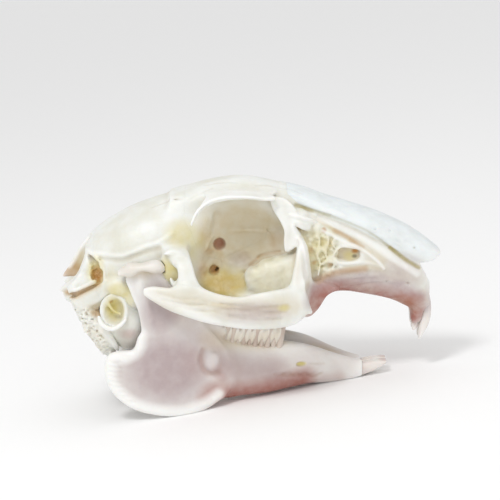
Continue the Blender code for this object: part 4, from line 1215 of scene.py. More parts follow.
        gap_line = (
            (64.5, 35.9), (65.2, 36.8), (67.1, 37.1), (69.2, 36.8), (70.5, 36), (70.3, 34.5), (69, 34),
            (66.7, 34), (64.9, 34.7),
        )
        hollow = Plate(field_line, 3.4, Axis.SIDE, lambda x, z: -9.2 - 0.07 * np.abs(x - 66.0), edge=0.9)
        gap = Plate(gap_line, 5.6, Axis.SIDE, lambda x, z: -9.3 + 0.02 * (x - 66.0), edge=0.6)
        clay.cut(hollow, blend=0.5)
        clay.cut(gap, blend=0.4)
        random = np.random.default_rng(9)
        area = np.array(field_line)
        knots = []
        most, apart, longest = 30, 1.05, 2.6
        while len(knots) < most:
            x, z = random.uniform(58, 66), random.uniform(29.6, 42.2)
            free = all(math.hypot(x - a, z - b) > apart for a, b in knots)
            if free and polygon_distance(np.array(x), np.array(z), area) < -0.2:
                knots.append((x, z))
        for k, (x, z) in enumerate(knots):
            order = sorted(knots[k + 1 :], key=lambda knot: math.hypot(knot[0] - x, knot[1] - z))
            for a, b in order[:2]:
                if math.hypot(a - x, b - z) < longest:
                    ends = clay.draped(((x, z), ((x + a) / 2, (z + b) / 2), (a, b)), 0.12)
                    clay.add(Rod(ends, (0.3, 0.22, 0.3), 2), blend=0.5)
        for rod in rods:
            clay.add(rod, blend=0.35)
        beads = ((60.2, 41.9, 1), (58.4, 42.2, 0.5), (62, 39.6, 0.45), (70.6, 35.6, 0.4), (61.8, 34.8, 0.5))
        balls = [Ball((x, clay.skin_y(x, z) + 0.1, z), (r, 0.6, r * 0.8)) for x, z, r in beads]
        clay.add(*balls, blend=0.3)
        clay.roughen(Ball((60.4, -9.6, 35.6), (5, 3.6, 7.4)), 0.1, 1.0, 31)

    def carve_snout(self) -> None:
        """The groove under the nasals, the line below the strip, the scratches and the small openings."""
        clay = self.clay
        groove = clay.line((
            (55.3, 47.2), (58.6, 46), (63.3, 44.6), (66.8, 43.3), (70.3, 41.8), (73.9, 39.7), (77.5, 36.8),
            (81.1, 33.9), (84.5, 31.8),
        ), 0.42, -0.02)
        shallow = (0.4, 0.42, 0.36, 0.26, 0.2, 0.2, 0.3, 0.42, 0.4)
        groove = Rod(groove.points, shallow)
        line = clay.line((
            (57.5, 45.1), (59.4, 44.3), (61.5, 43.1), (64.5, 41.1), (66.9, 39.8), (68.8, 38.6),
            (70.9, 37.1), (72.5, 35.9),
        ), 0.42, -0.05)
        clay.cut(groove, line, blend=0.35)
        low_lines = (
            ((62.6, 29), (72, 30.6)), ((63.5, 28.2), (74.5, 29.4)), ((66, 30.6), (75, 31)),
            ((68, 27.6), (79, 28)),
        )
        high_lines = (
            ((75.6, 39), (79, 37.2)), ((77.2, 39.1), (80.5, 37.4)), ((78, 37.4), (80.4, 36.3)),
            ((62.6, 46.8), (67, 45.1)), ((81, 38.4), (83, 37.4)), ((30.4, 48.2), (36, 50.9)),
            ((34, 51.2), (42, 52)), ((46, 51.4), (53, 50.4)), ((49, 51.6), (57, 49.4)),
            ((51, 49.8), (58, 48)), ((22, 46.4), (29, 48.6)),
        )
        for lines, rise, depth, blend in ((low_lines, 0.5, -0.05, 0.5), (high_lines, 0.3, -0.07, 0.4)):
            for (x, z), last in lines:
                middle = ((x + last[0]) / 2, (z + last[1]) / 2 + rise)
                clay.cut(clay.line(((x, z), middle, last), 0.2, depth), blend=blend)
        for x, z, r in (
            (81.9, 28.2, 0.35), (76.8, 28.7, 0.25), (83.3, 36.6, 0.35), (73.9, 41.3, 0.2),
            (77.4, 40.8, 0.2),
        ):
            clay.cut(Ball((x, clay.skin_y(x, z), z), (r * 1.4, 0.5, r * 0.8), (0, 30, 0)), blend=0.2)

    def carve_orbit_details(self) -> None:
        """The line along the orbit's inner wall, the crack and the lobes' small hollows."""
        clay = self.clay
        ridge = Rod((
            (39.6, -3.9, 40.5), (43.5, -3.8, 40.6), (46.6, -4.2, 40.6), (50.4, -5.8, 40.8),
        ), (0.3, 0.45, 0.45, 0.3))
        crack = clay.line(((48.7, 41), (49.4, 40), (50.2, 38.6)), 0.24)
        scar = clay.line(((45.2, 33), (46.4, 34), (47.5, 34.8), (49.4, 35.7), (51.7, 35.9)), 0.2)
        lip = clay.line(((34.6, 36.8), (35, 38.2), (36, 39.4)), 0.24)
        fleck = clay.line(((38.2, 33.6), (39.2, 33.2), (40.2, 32.6)), 0.22)
        clay.cut(scar, blend=0.4)
        clay.add(ridge, lip, fleck, blend=0.6)
        clay.cut(crack, blend=0.2)
        clay.roughen(Ball((49.6, -12, 31.2), (7.4, 4.8, 6)), 0.14, 1.5, 41)
        clay.roughen(Ball((49.6, -12, 31.2), (7.4, 4.8, 6)), 0.08, 0.8, 43)
        clay.roughen(Ball((39.6, -6.6, 32), (7.6, 5.4, 8.6)), 0.2, 1.8, 42)

    def cut_openings(self) -> None:
        """The openings in the middle and on the right."""
        clay = self.clay
        optic, sphenoid = clay.skin_y(37.4, 37.5), clay.skin_y(36.3, 31.2)
        optic_hole = Rod(((37.3, optic - 2.5, 37.6), (37.6, optic + 0.3, 37.4)), (1.5, 1.5))
        sphenoid_hole = Rod(((36.4, sphenoid - 2.0, 31.3), (36.2, sphenoid + 0.2, 31.1)), (1.15, 1.1))
        slit = Ball((36.9, sphenoid + 1.0, 31.1), (0.26, 1.6, 0.75), (0, 38, 0))
        nostril = Loft.along_x((
            (74, 0, 2.4, 31, 37.5), (80, 0, 4.2, 29.2, 37.6), (86, 0, 4.3, 27.4, 35.4), (94, 0, 5, 26, 34),
        ))
        choana = Loft.along_x((
            (27, 0, 2.2, 12, 24), (34, 0, 2.9, 12, 26.4), (43, 0, 3.4, 12, 28), (47, 0, 2.4, 12, 26),
        ))
        magnum = Rod(((-3, 0, 25.8), (3, 0, 26.4), (9, 0, 27.8)), (3.2, 3, 2.7))
        incisive_slot = Loft.along_x((
            (61, -2.1, 0.7, 16, 27.5), (65, -2.4, 1.4, 16, 28.6), (72, -2, 1.3, 16, 28.2),
            (78.5, -1.4, 0.6, 16, 26),
        ))
        clay.cut(optic_hole, sphenoid_hole, slit, nostril, choana, magnum, incisive_slot, blend=0.4)

    def cut_meetings(self) -> None:
        """The room for the ear capsule, the jaw's head and the front teeth."""
        clay = self.clay
        gap = self.meeting_gap
        capsule = Ball(EAR_CAPSULE.centre, tuple(r - gap for r in EAR_CAPSULE.radii), EAR_CAPSULE.tilt_deg)
        clay.cut(capsule, EAR_TUBE.grown(-gap), JAW_HEAD.grown(gap), blend=0.3)
        clay.cut(UPPER_INCISOR.grown(gap / 2), PEG_TOOTH.grown(gap / 2), blend=0.2)

    def regions(self) -> list[Region]:
        """The outlines of the bones in side view."""
        fork, corner = (37.8, 33.6), (56.4, 47.1)
        nape = ((8, 56), (8, 40), (8.4, 32), (9.4, 27), (12, 22), (13.6, 16), (13.6, 7))
        crown = ((29.5, 56), (29.5, 44), (31.2, 41), (32.3, 38), (32.3, 35))
        brow = ((44, 36.4), (48.4, 38.6), (49.2, 44), (51, 47))
        throat = ((38.4, 28), (38.4, 7))
        nose = ((52.6, 58), (53.4, 49.6))
        nose_side = ((61, 45.2), (67, 42.8), (72, 40.4), (77, 37), (82, 33.2), (85.5, 31.5), (96, 30.2))
        snout_side = ((66, 41.2), (73, 36.6), (74.4, 33.4), (71, 29), (68.6, 24), (68.6, 7))
        return [
            Region("occipital", (*nape, (-9, 7), (-9, 56)), False),
            Region("braincase", (*crown, fork, *throat, *nape[::-1]), False),
            Region("frontal", (*crown, fork, *brow, corner, *nose[::-1])),
            Region("nasal", (*nose, corner, *nose_side, (96, 58))),
            Region("maxilla", (fork, *brow, corner, *snout_side, *throat[::-1])),
            Region("premaxilla", (corner, *nose_side, (96, 7), *snout_side[::-1])),
        ]

    def build(self) -> list[bpy.types.Object]:
        """Sculpts the cranium and parts it into its bones.

        Returns:
            The bones as pieces, named for their nodes.
        """
        self.add_core()
        self.cut_orbit()
        self.add_cheek()
        self.add_base()
        self.cut_openings()
        self.fill_round_ear()
        self.add_rear_details()
        self.carve_lattice()
        self.carve_snout()
        self.carve_orbit_details()
        self.cut_meetings()
        self.add_ear_surround()
        whole, relief, (x, y, z) = self.whole()
        arch = np.array(((24, 31.2), (36, 30.4), (52.8, 34), (50.6, 14), (16, 14), (16, 31.4)))
        arch_room = np.maximum(polygon_distance(x, z, arch), self.arch_side - np.abs(y))
        pieces = []
        for region in self.regions():
            edge = np.maximum(polygon_distance(x, z, np.array(region.outline)), -arch_room)
            sides = {"_right": y, "_left": -y} if region.paired else {"": UNBOUNDED}
            for suffix, half in sides.items():
                values = self.lapped(whole.values, np.maximum(edge, half))
                pieces.append(self.piece(region.node + suffix, whole, values, relief))
        for suffix, half in {"_right": y, "_left": -y}.items():
            values = self.lapped(whole.values, np.maximum(arch_room, half))
            pieces.append(self.piece("zygoma" + suffix, whole, values, relief))
        return pieces

    def lapped(self, values: np.ndarray, edge: np.ndarray) -> np.ndarray:
        """A bone's part of the solid, which dips under its neighbour a little past their suture."""
        return np.maximum(values + 0.5 * np.maximum(edge, 0), edge - self.suture_lap)

    def piece(
        self, name: str, whole: Clay, values: np.ndarray, relief: np.ndarray
    ) -> bpy.types.Object:
        """One bone from its distances on the whole grid, cropped to where the bone is."""
        inside = np.argwhere(values < 0)
        low = np.maximum(inside.min(axis=0) - 2, 0)
        high = np.minimum(inside.max(axis=0) + 3, values.shape)
        part = tuple(slice(a, b) for a, b in zip(low, high))
        block = np.clip(values[part], -BAND, BAND).astype(np.float32)
        made = piece_from_skin(
            name, whole, np.ascontiguousarray(block), whole.first + low, CRANIUM_STAINS_AND_PAINTED_LIGHT, self.rest, relief
        )
        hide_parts(name)
        return made


@dataclass
class Jaw(Sculpture):
    """The two halves of the lower jaw without their teeth."""

    # The room round each gnawing tooth, and how far the halves lap at the chin, in millimetres.
    socket_gap: float = 0.12
    chin_lap: float = 0.06
    low: Point = (8, -24, -4)
    high: Point = (80, 1.5, 38)

    def add_bone(self) -> None:
        """The body, the plate with its rim, the neck and the head."""
        clay = self.clay
        outline = (
            (22.5, 33.5), (25.4, 29.6), (29.4, 25.6), (33.6, 20.6), (39, 14), (41, 7), (39.6, 3.4),
            (36.8, 1.7), (33.6, 0), (29.5, -0.9), (23.7, -0.6), (18, 0.9), (13.9, 3.8), (12, 7.5),
            (11.7, 11.2), (12.7, 12.9), (15.4, 12.1), (17.8, 13), (19.4, 15.6), (19.6, 19.6), (18.8, 24),
            (17.2, 28), (16.4, 32),
        )
        plate = Plate(outline, 1.5, Axis.SIDE, jaw_bend)
        body = Loft((
            (28, -13.6, 15, 1, 5), (33, -11.6, 11.6, 1.9, 6.8), (38, -9.9, 8.7, 2.8, 7.1),
            (43, -8.6, 8, 3.2, 6.2), (49, -7.4, 7.8, 3.2, 5.6), (54, -6.1, 8.2, 3, 5.2),
            (58.6, -4.6, 7.9, 2.8, 4.3), (63, -3.2, 7, 2.5, 3.5), (68, -2.3, 6.3, 2.1, 2.5),
            (71.6, -1.9, 6.6, 1.7, 1.9),
        ), power=2.5)
        neck = Rod(((19.4, -15.2, 32.6), (20.4, -15.4, 27), (22.6, -15.6, 18)), (1.2, 1.1, 0.9))
        front_ridge = Rod((
            (23.4, -15.3, 32.4), (27.6, -15, 27), (33, -12.6, 21), (37, -10.4, 16.4),
        ), (1, 1, 1.1, 1.2))
        rim_places = (
            (19.6, 17), (18.2, 13.9), (15, 13.2), (12.7, 12.1), (12.5, 7.7), (14.6, 4.4), (18.5, 1.8),
            (23.9, 0.5), (29.5, 0.2), (33.8, 1.2), (37.8, 3.5),
        )
        rim = Rod(
            [(x, float(jaw_bend(np.float64(x), z)), z) for x, z in rim_places],
            (0.8, 0.95, 1.1, 1.15, 1, 0.95, 1, 1.1, 1.1, 1, 0.9),
        )
        ledge = Rod(
            ((52, -5.6, 12.6), (58, -4.8, 11.6), (64, -3.2, 9.6), (70, -2.2, 7.8)), (1.7, 1.5, 1.2, 0.9),
        )
        clay.add(plate, body, blend=1.6)
        clay.add(neck, front_ridge, ledge, blend=1.2)
        clay.add(rim, blend=1.8)
        clay.add(JAW_HEAD, blend=0.5)
        clay.add(
            Rod(((31.4, -12.2, 20.2), (35, -11.2, 19.4), (38.4, -10.2, 17.6)), (1.5, 1.5, 0.9)), blend=0.9,
        )
        socket_ridges, rim_notches, furrows = 10, 9, 5
        for k in range(socket_ridges):
            low, side = 37.4 + 1.46 * k, -9.75 + 0.2 * k
            ridge = Rod((
                (low + 1.5, side + 0.35, 18.0), (low + 0.7, side + 0.15, 16.0), (low, side + 0.7, 13.6),
            ), (0.72, 0.78, 0.4))
            clay.add(ridge, blend=0.3)
        moat = clay.line(((34, 14.4), (33.4, 12.2), (33.9, 9.8), (35.6, 8.4), (37.6, 8.4)), 0.6)
        clay.cut(moat, blend=1.0)
        clay.add(Ball((35.9, clay.skin_y(35.9, 11.2) + 0.2, 11.3), (1.5, 1, 2.1), (0, 12, 0)), blend=0.9)
        for k in range(rim_notches):
            height = 12.2 - 1.15 * k
            start = 12.3 + 0.02 * (k - 2.5) ** 3 if k > 4 else 12.4
            notch = clay.line((
                (start - 0.5, height), (start + 1.0, height - 0.5), (start + 2.6, height - 0.5),
            ), 0.26, -0.05)
            clay.cut(notch, blend=0.5)
        clay.cut(Ball((57.0, clay.skin_y(57, 9.1) - 0.2, 9.1), (1.5, 0.8, 0.6), (0, -4, 0)), blend=0.3)
        clay.cut(clay.line(((58.4, 9), (60.2, 8.8), (62.4, 8.6)), 0.22), blend=0.3)
        for k in range(furrows):
            x, z = 50.5 + 1.9 * k, 7.2 - 0.25 * k
            clay.cut(clay.line(((x, z), (x + 1.6, z - 0.6), (x + 3.6, z + 0.1)), 0.3), blend=0.6)
        clay.roughen(Ball((24, -16.6, 9), (11, 2.4, 11)), 0.1, 2.2, 51)
        clay.cut(LOWER_INCISOR.grown(self.socket_gap), blend=0.2)

    def build(self) -> list[bpy.types.Object]:
        """Sculpts the jaw.

        Returns:
            The right and the left half as pieces.
        """
        self.add_bone()
        whole, relief, (x, y, z) = self.whole()
        tilt = math.radians(self.rest.tilt_deg)
        level = self.rest.floor_z / math.cos(tilt)
        table = (level + math.tan(tilt) * x - z) * math.cos(tilt)
        body = np.maximum(whole.values, table)
        pieces = []
        for suffix, half in {"_right": y + self.chin_lap, "_left": self.chin_lap - y}.items():
            values = np.clip(np.maximum(body, half), -BAND, BAND).astype(np.float32)
            name = "mandible" + suffix
            made = piece_from_skin(name, whole, values, whole.first, JAW_STAINS_AND_PAINTED_LIGHT, self.rest, relief)
            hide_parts(name)
            pieces.append(made)
        return pieces


@dataclass
class EarCapsules:
    """The two rounded ear capsules with their open tubes."""

    rest: Rest
    pitch: float = 0.2
    low: Point = (6, -20, 11)
    high: Point = (24, -2, 31)

    def build(self) -> list[bpy.types.Object]:
        """Sculpts the right capsule and mirrors it.

        Returns:
            The right and the left capsule as pieces.
        """
        clay = Clay(self.low, self.high, self.pitch)
        clay.add(EAR_CAPSULE)
        clay.add(Ball((16.8, -11.2, 18.8), (3.6, 3.1, 5.2), (0, 14, 0)), blend=1.6)
        clay.add(EAR_TUBE, blend=1.6)
        hole = Loft((
            (13, -19, 23.8, 2.75, 3.6), (13.1, -15, 23.7, 2.6, 3.45), (13.4, -13.4, 23.4, 1.9, 2.7),
            (13.8, -12.2, 23, 0.9, 1.5),
        ), side=(1, 0, 0), up=(0, 0, 1), power=2.2)
        clay.cut(hole, blend=0.3)
        lip = Rod((
            (9.8, -15.3, 22.2), (10.3, -15.6, 20.9), (11.4, -15.7, 19.9), (13, -15.7, 19.5),
            (14.7, -15.5, 20.3), (16, -15.1, 21.6),
        ), (0.4, 0.55, 0.6, 0.55, 0.5, 0.3))
        clay.add(lip, blend=0.6)
        bars = Rod(((11.6, -13.6, 25.6), (12.9, -13.4, 23.4), (14.6, -13.4, 22.4)), (0.35, 0.4, 0.35))
        clay.add(bars, blend=0.5)
        clay.roughen(Ball((13.2, -13.2, 23.4), (2.6, 1.8, 3.4)), 0.2, 1.0, 61)
        return pair_from(clay, "bulla", EAR_STAINS_AND_PAINTED_LIGHT, self.rest)


def pair_from(clay: Clay, node: str, spots: Sequence[StainAndPaintedLight], rest: Rest) -> list[bpy.types.Object]:
    """The right piece of a solid on the right side, and its mirror.

    Args:
        clay: The solid.
        node: The node's name without its side.
        spots: The stain marks and painted light.
        rest: The move to the table's frame.

    Returns:
        The right and the left piece.
    """
    pieces = []
    for side in ("right", "left"):
        whole = clay
        if side == "left":
            last = clay.first[1] + clay.values.shape[1] - 1
            first = (clay.first[0], -last, clay.first[2])
            whole = Clay.of(np.ascontiguousarray(clay.values[:, ::-1]), first, clay.pitch)
        relief = blurred(whole.values, 2)
        name = f"{node}_{side}"
        made = piece_from_skin(name, whole, whole.values, whole.first, spots, rest, relief)
        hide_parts(name)
        pieces.append(made)
    return pieces


@dataclass
class FrontTeeth:
    """The gnawing teeth above and below and the two peg teeth."""

    rest: Rest
    pitch: float = 0.12

    def build(self) -> list[bpy.types.Object]:
        """Sculpts the right teeth and mirrors them.

        Returns:
            The six teeth as pieces.
        """
        pieces = []
        shapes = {"incisor_upper": UPPER_INCISOR, "peg_tooth": PEG_TOOTH, "incisor_lower": LOWER_INCISOR}
        for node, loft in shapes.items():
            low, high = loft.reach()
            clay = Clay(tuple(low - 0.8), tuple(high + 0.8), self.pitch)
            clay.add(loft)
            pieces += pair_from(clay, node, TOOTH_STAINS, self.rest)
        return pieces


@dataclass
class CheekTeeth:
    """A row of cheek teeth on each side, above and below, each tooth of two upright columns."""

    rest: Rest
    pitch: float = 0.14
    lean_deg: float = 9.0
    seed: int = 7
    teeth: int = 5
    # The least and most size of a tooth, and the most it turns about X, Y and Z, in radians.
    sizes: Flat = (0.93, 1.05)
    unevenness: Point = (0.05, 0.06, 0.08)

    def column(self, name: str, length: float, width: float, height: float) -> bpy.types.Object:
        """One tooth about its own middle, in metres, with its top at height / 2."""
        clay = Clay((-length, -width, -height), (length, width, height), self.pitch)
        for side in (-1, 1):
            x = side * length * 0.25
            rows = [(x, 0, z * height / 2, length * 0.26, width / 2) for z in (-1, -0.4, 0.4, 1)]
            clay.add(Loft(rows, side=(1, 0, 0), up=(0, 1, 0), power=2.4), blend=0.25)
        clay.cut(Ball((0.0, 0.0, height * 0.53), (length * 0.2, width * 0.36, 0.5)), blend=0.3)
        points, quads = clay.skin()
        mesh = bpy.data.meshes.new(name)
        mesh.from_pydata(relaxed(points, quads, 1) * self.rest.metres, [], quads)
        mesh.shade_smooth()
        return linked(name, mesh)

    def row_tree(self) -> bpy.types.NodeTree:
        """The nodes that set teeth along a line, each a little turned and sized by itself."""
        tree = bpy.data.node_groups.new("cheek_tooth_row", "GeometryNodeTree")
        tree.interface.new_socket("Geometry", in_out="OUTPUT", socket_type="NodeSocketGeometry")
        for name, kind in (
            ("Geometry", "Geometry"), ("Tooth", "Object"), ("Count", "Int"), ("Front", "Vector"),
            ("Back", "Vector"), ("Turn", "Float"), ("Seed", "Int"), ("Enamel", "Material"),
        ):
            tree.interface.new_socket(name, in_out="INPUT", socket_type="NodeSocket" + kind)
        given = tree.nodes.new("NodeGroupInput").outputs
        line = node(
            tree, "GeometryNodeMeshLine", {"Count": given["Count"], "Start Location": given["Front"]},
            mode="END_POINTS",
        )
        tree.links.new(given["Back"], line.inputs["Offset"])
        tooth = node(tree, "GeometryNodeObjectInfo", {"Object": given["Tooth"]})
        size = node(tree, "FunctionNodeRandomValue", {"Seed": given["Seed"]}, data_type="FLOAT")
        size.inputs[2].default_value, size.inputs[3].default_value = self.sizes
        lean = node(tree, "FunctionNodeRandomValue", {"Seed": given["Seed"]}, data_type="FLOAT_VECTOR")
        lean.inputs[0].default_value = [-angle for angle in self.unevenness]
        lean.inputs[1].default_value = self.unevenness
        turned = node(tree, "ShaderNodeVectorMath", {0: lean.outputs[0]}, operation="ADD")
        upright = node(tree, "ShaderNodeCombineXYZ", {"Y": given["Turn"]})
        tree.links.new(upright.outputs[0], turned.inputs[1])
        spread = node(
            tree, "GeometryNodeInstanceOnPoints",
            {
                "Points": line.outputs["Mesh"], "Instance": tooth.outputs["Geometry"],
                "Rotation": turned.outputs[0], "Scale": size.outputs[1],
            },
        )
        real = node(tree, "GeometryNodeRealizeInstances", {0: spread.outputs[0]})
        dressed = node(
            tree, "GeometryNodeSetMaterial", {"Geometry": real.outputs[0], "Material": given["Enamel"]}
        )
        node(tree, "NodeGroupOutput", {0: dressed.outputs[0]})
        return tree

    def row(
        self, name: str, tree: bpy.types.NodeTree, tooth: bpy.types.Object,
        enamel: bpy.types.Material, front: Point, back: Point,
    ) -> bpy.types.Object:
        """One row of teeth between two places in the skull's own frame."""
        holder = linked(name, bpy.data.meshes.new(name))
        modifier = holder.modifiers.new("row", "NODES")
        modifier.node_group = tree
        ends = self.rest.place(np.array([front, back]))
        given = {
            "Tooth": tooth, "Count": self.teeth, "Front": tuple(ends[0]), "Back": tuple(ends[1]),
            "Turn": math.radians(self.rest.tilt_deg + self.lean_deg), "Seed": self.seed, "Enamel": enamel,
        }
        for socket in tree.interface.items_tree:
            if socket.in_out == "INPUT" and socket.name in given:
                modifier[socket.identifier] = given[socket.name]
        bpy.context.view_layer.update()
        graph = bpy.context.evaluated_depsgraph_get()
        mesh = bpy.data.meshes.new_from_object(holder.evaluated_get(graph))
        holder.modifiers.clear()
        holder.data = mesh
        mesh.shade_smooth()
        return holder

    def build(self, enamel: bpy.types.Material) -> list[bpy.types.Object]:
        """Makes the four rows.

        Args:
            enamel: The teeth's material.

        Returns:
            The rows as pieces.
        """
        tree = self.row_tree()
        lower = self.column("lower_column", 2.9, 3.2, 9.6)
        upper = self.column("upper_column", 2.9, 3.8, 5.2)
        pieces = []
        for side, way in (("right", -1), ("left", 1)):
            for jaw, tooth, front, back in (
                ("lower", lower, (51.0, way * 6.7, 13.9), (39.4, way * 8.4, 13.9)),
                ("upper", upper, (53.2, way * 8.4, 21.9), (41.4, way * 9.0, 21.9)),
            ):
                name = f"{jaw}_cheek_teeth_{side}"
                pieces.append(self.row(name, tree, tooth, enamel, front, back))
        for column in (lower, upper):
            bpy.data.objects.remove(column)
        return pieces


def linear(code: str) -> tuple[float, float, float, float]:
    """An sRGB hex colour as the linear colour that shaders take."""
    values = [int(code[i : i + 2], 16) / 255 for i in (1, 3, 5)]
    made = [v / 12.92 if v <= 0.04045 else ((v + 0.055) / 1.055) ** 2.4 for v in values]
    return (*made, 1.0)


def node(
    tree: bpy.types.NodeTree, kind: str, inputs: dict | None = None, **settings: object
) -> bpy.types.Node:
    """Adds a node to a tree.

    Args:
        tree: The tree.
        kind: The node's type.
        inputs: Values or output sockets for the node's inputs, by name or number.
        settings: The node's own settings.

    Returns:
        The node.
    """
    made = tree.nodes.new(kind)
    for key, value in settings.items():
        setattr(made, key, value)
    for key, value in (inputs or {}).items():
        if isinstance(value, bpy.types.NodeSocket):
            tree.links.new(value, made.inputs[key])
        else:
            made.inputs[key].default_value = value
    return made


@dataclass(frozen=True)
class BoneFinish:
    """Cleaned, bleached dry bone: chalky white, marked where grease stayed, with painted shade in hollows,
    painted highlight on edges and painted reflection of reddish bounce light on lower sides.
    """

    name: str
    body: str = "#ECEDE8"
    shade: str = "#DEDDD0"
    # Painted shade in the skin's hollows.
    hollow: str = "#B3A07C"
    beige: str = "#D5C5A2"
    # Blush and rose serve mostly as painted reflection of reddish light bounced from below, with painted
    # shade on lower sides.
    blush: str = "#B7A6A6"
    rose: str = "#A66E63"
    amber: str = "#DBCE86"
    ochre: str = "#B67F3A"
    olive: str = "#A79F63"
    # Also the painted highlight on convex edges.
    pale: str = "#F8F8F5"
    # Dark serves as painted shade deep in gaps and cavities.
    dark: str = "#3A2A1C"
    roughness: float = 0.42
    # Clouds of slightly darker bone, as wide as the real patches that bleaching leaves.
    cloud_mm: float = 7.0
    # The uneven edges of stain marks and painted light, which follow the bone's own mottling.
    fleck_mm: float = 2.2
    # Real pores are about 0.1 mm wide, too fine to show, so the grain is drawn coarser.
    grain_mm: float = 0.7
    grain_depth: float = 0.0002
    # The share of a stain mark or of painted light at its thinnest and thickest flecks.
    least: float = 0.72
    most: float = 1.12
    # Light goes a little into bone and enamel and comes out warmer, which softens their shade.
    glow: float = 0.12
    glow_depth: float = 0.0008

    def material(self) -> bpy.types.Material:
        """The finish as a material."""
        made = bpy.data.materials.new(self.name)
        made.use_nodes = True
        tree = made.node_tree
        shader = tree.nodes["Principled BSDF"]
        place = node(tree, "ShaderNodeTexCoord").outputs["Object"]
        cloud, grain, fleck = (
            node(tree, "ShaderNodeTexNoise", {"Vector": place, "Scale": 1000 / size, "Detail": detail})
            for size, detail in ((self.cloud_mm, 4.0), (self.grain_mm, 3.0), (self.fleck_mm, 4.0))
        )
        clouded = node(tree, "ShaderNodeMapRange", {0: cloud.outputs[0], 1: 0.4, 2: 0.68})
        colour = self.mixed(tree, clouded.outputs[0], linear(self.body), linear(self.shade))
        # The edge layer is a painted highlight on convex edges, the hollow layer painted shade in hollows.
        layers = {"edge": self.pale, "hollow": self.hollow}
        layers.update({tint.value: getattr(self, tint.value) for tint in Tint})
        for key, code in layers.items():
            amount = node(tree, "ShaderNodeAttribute", attribute_name=key).outputs["Fac"]
            uneven = node(
                tree, "ShaderNodeMapRange",
                {0: fleck.outputs[0], 1: 0.3, 2: 0.7, 3: self.least, 4: self.most},
            )
            share = node(tree, "ShaderNodeMath", {0: amount, 1: uneven.outputs[0]}, operation="MULTIPLY")
            share.use_clamp = True
            colour = self.mixed(tree, share.outputs[0], colour, linear(code))
        height = node(tree, "ShaderNodeBump", {"Height": grain.outputs[0], "Strength": 0.45})
        height.inputs["Distance"].default_value = self.grain_depth
        tree.links.new(colour, shader.inputs["Base Color"])
        tree.links.new(height.outputs[0], shader.inputs["Normal"])
        for key, value in (
            ("Roughness", self.roughness), ("Subsurface Weight", self.glow),
            ("Subsurface Radius", (1.0, 0.7, 0.45)), ("Subsurface Scale", self.glow_depth),
        ):
            shader.inputs[key].default_value = value
        return made

    @staticmethod
    def mixed(
        tree: bpy.types.NodeTree, share: bpy.types.NodeSocket, first: object, second: object
    ) -> bpy.types.NodeSocket:
        """The socket of two colours mixed by a share."""
        made = node(tree, "ShaderNodeMix", {0: share, 6: first, 7: second}, data_type="RGBA")
        return made.outputs[2]


@dataclass
class Studio:
    """The pale floor, the soft lights and the camera at the photo's angle."""

    rest: Rest
    elevation_deg: float = 11.0
    distance_mm: float = 420.0
    pixel_mm: float = 0.238
    aim: Point = (44.7, 0.0, 35.0)
    frame_pixels: int = 500
    floor_reach: float = 12.0
    world_strength: float = 0.765
    lit_point: Point = (0.0, 0.0, 0.025)

    def add_floor(self) -> None:
        """A pale floor that reaches past the frame."""
        mesh = bpy.data.meshes.new("floor")
        reach = self.floor_reach
        corners = [(-reach, -reach, 0), (reach, -reach, 0), (reach, reach, 0), (-reach, reach, 0)]
        mesh.from_pydata(corners, [], [(0, 1, 2, 3)])
        floor = linked("floor", mesh)
        material = bpy.data.materials.new("matt_white_table")
        material.use_nodes = True
        shader = material.node_tree.nodes["Principled BSDF"]
        shader.inputs["Base Color"].default_value = linear("#FFFFFF")
        shader.inputs["Roughness"].default_value = 0.9
        mesh.materials.append(material)
        floor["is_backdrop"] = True

    def add_lights(self) -> None:
        """A white world, a large key from above in front and a soft fill."""
        world = bpy.data.worlds.new("studio")
        world.use_nodes = True
        background = world.node_tree.nodes["Background"]
        background.inputs["Color"].default_value = linear("#FFFFFF")
        background.inputs["Strength"].default_value = self.world_strength
        bpy.context.scene.world = world
        bpy.context.scene.view_settings.view_transform = "Standard"
        for name, place, size, power in (
            ("key", (-0.14, -0.34, 0.58), 0.15, 1.28), ("fill", (0.45, -0.50, 0.15), 0.40, 0.25),
        ):
            light = bpy.data.lights.new(name, "AREA")
            light.size = size
            light.energy = power
            lamp = linked(name, light)
            lamp.location = place
            ray = Vector(self.lit_point) - Vector(place)
            lamp.rotation_euler = ray.to_track_quat("-Z", "Y").to_euler()

    def add_camera(self) -> None:
        """The camera, which sees the skull as the photo does."""
        angle = math.radians(self.elevation_deg)
        ahead = Vector((0, math.cos(angle), -math.sin(angle)))
        right = Vector((1, 0, 0))
        top = right.cross(ahead)
        place = Vector(self.aim) - ahead * self.distance_mm
        turn = Matrix((right, top, -ahead)).transposed().to_4x4()
        data = bpy.data.cameras.new("camera")
        data.lens = data.sensor_width * self.distance_mm / (self.frame_pixels * self.pixel_mm)
        data.clip_start = 0.01
        data.clip_end = 50.0
        camera = linked("camera", data)
        rest_turn = Matrix.Rotation(math.radians(self.rest.tilt_deg), 4, "Y")
        camera.matrix_world = Matrix.Translation(self.rest.matrix() @ place) @ rest_turn @ turn
        bpy.context.scene.camera = camera

    def build(self) -> None:
        """Sets up the floor, the lights and the camera."""
        self.add_floor()
        self.add_lights()
        self.add_camera()


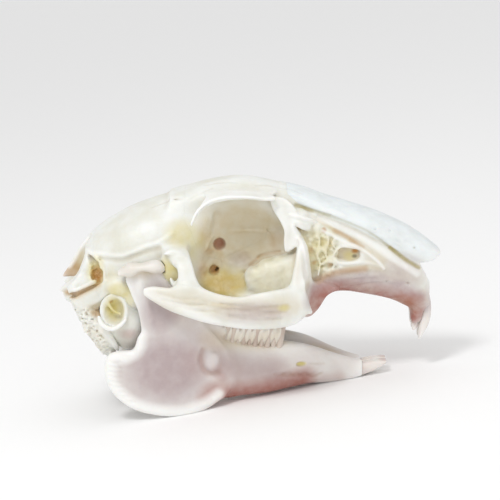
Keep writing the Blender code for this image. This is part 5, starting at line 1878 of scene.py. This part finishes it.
def dress(piece: bpy.types.Object, material: bpy.types.Material) -> None:
    """Gives a piece its material, and lets it ride on the skull."""
    piece.data.materials.clear()
    piece.data.materials.append(material)
    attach(piece, "root")
    log.info("%s: %d points", piece.name, len(piece.data.vertices))


def corners() -> list[list[float]]:
    """The shown object's lowest and highest corner as plain numbers."""
    return [[float(value) for value in corner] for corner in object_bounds()]


def main() -> None:
    """Builds the bones and teeth, dresses them and sets the scene."""
    logging.basicConfig(level=logging.INFO, format="%(name)s %(message)s")
    for thing in list(bpy.data.objects):
        bpy.data.objects.remove(thing)
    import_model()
    rest = Rest()
    # Bleached dry bone: chalky white and satin, with marks of old grease, painted cream shade in its hollows
    # and painted highlight on its edges.
    bone = BoneFinish("bleached_bone").material()
    # The thin bone over the nose lets light through, so it looks smoother and a little blue.
    nasal_bone = BoneFinish("cool_nasal_bone", body="#E9EFF0", shade="#DDE2E2", cloud_mm=4.0).material()
    # The jaw's plate carries a slight mauve in even, soft patches, a painted reflection of reddish light
    # bounced from below.
    jaw_bone = BoneFinish(
        "jaw_bone_with_painted_bounce_light", body="#EAE8E4", shade="#DFD8D3", least=0.86, most=1.04,
    ).material()
    # Tooth enamel: glossier than bone and warm white.
    enamel = BoneFinish("tooth_enamel", body="#EFEBE6", shade="#E9DFD8", roughness=0.25).material()
    # Cheek teeth are dull with wear and coating, and sit in shade under the arch, so their enamel is duller
    # and brown-grey: partly their own colour, partly painted shade.
    worn_and_shaded_enamel = BoneFinish("worn_cheek_tooth_enamel_and_painted_shade", body="#D8CCC1", shade="#C2B1A4", roughness=0.3).material()
    for piece in Cranium(rest).build() + EarCapsules(rest).build():
        dress(piece, nasal_bone if piece.name.startswith("nasal") else bone)
    for piece in Jaw(rest).build():
        dress(piece, jaw_bone)
    for piece in FrontTeeth(rest).build():
        dress(piece, enamel)
    for piece in CheekTeeth(rest).build(worn_and_shaded_enamel):
        dress(piece, worn_and_shaded_enamel)
    Studio(rest).build()


if __name__ == "__main__":
    main()
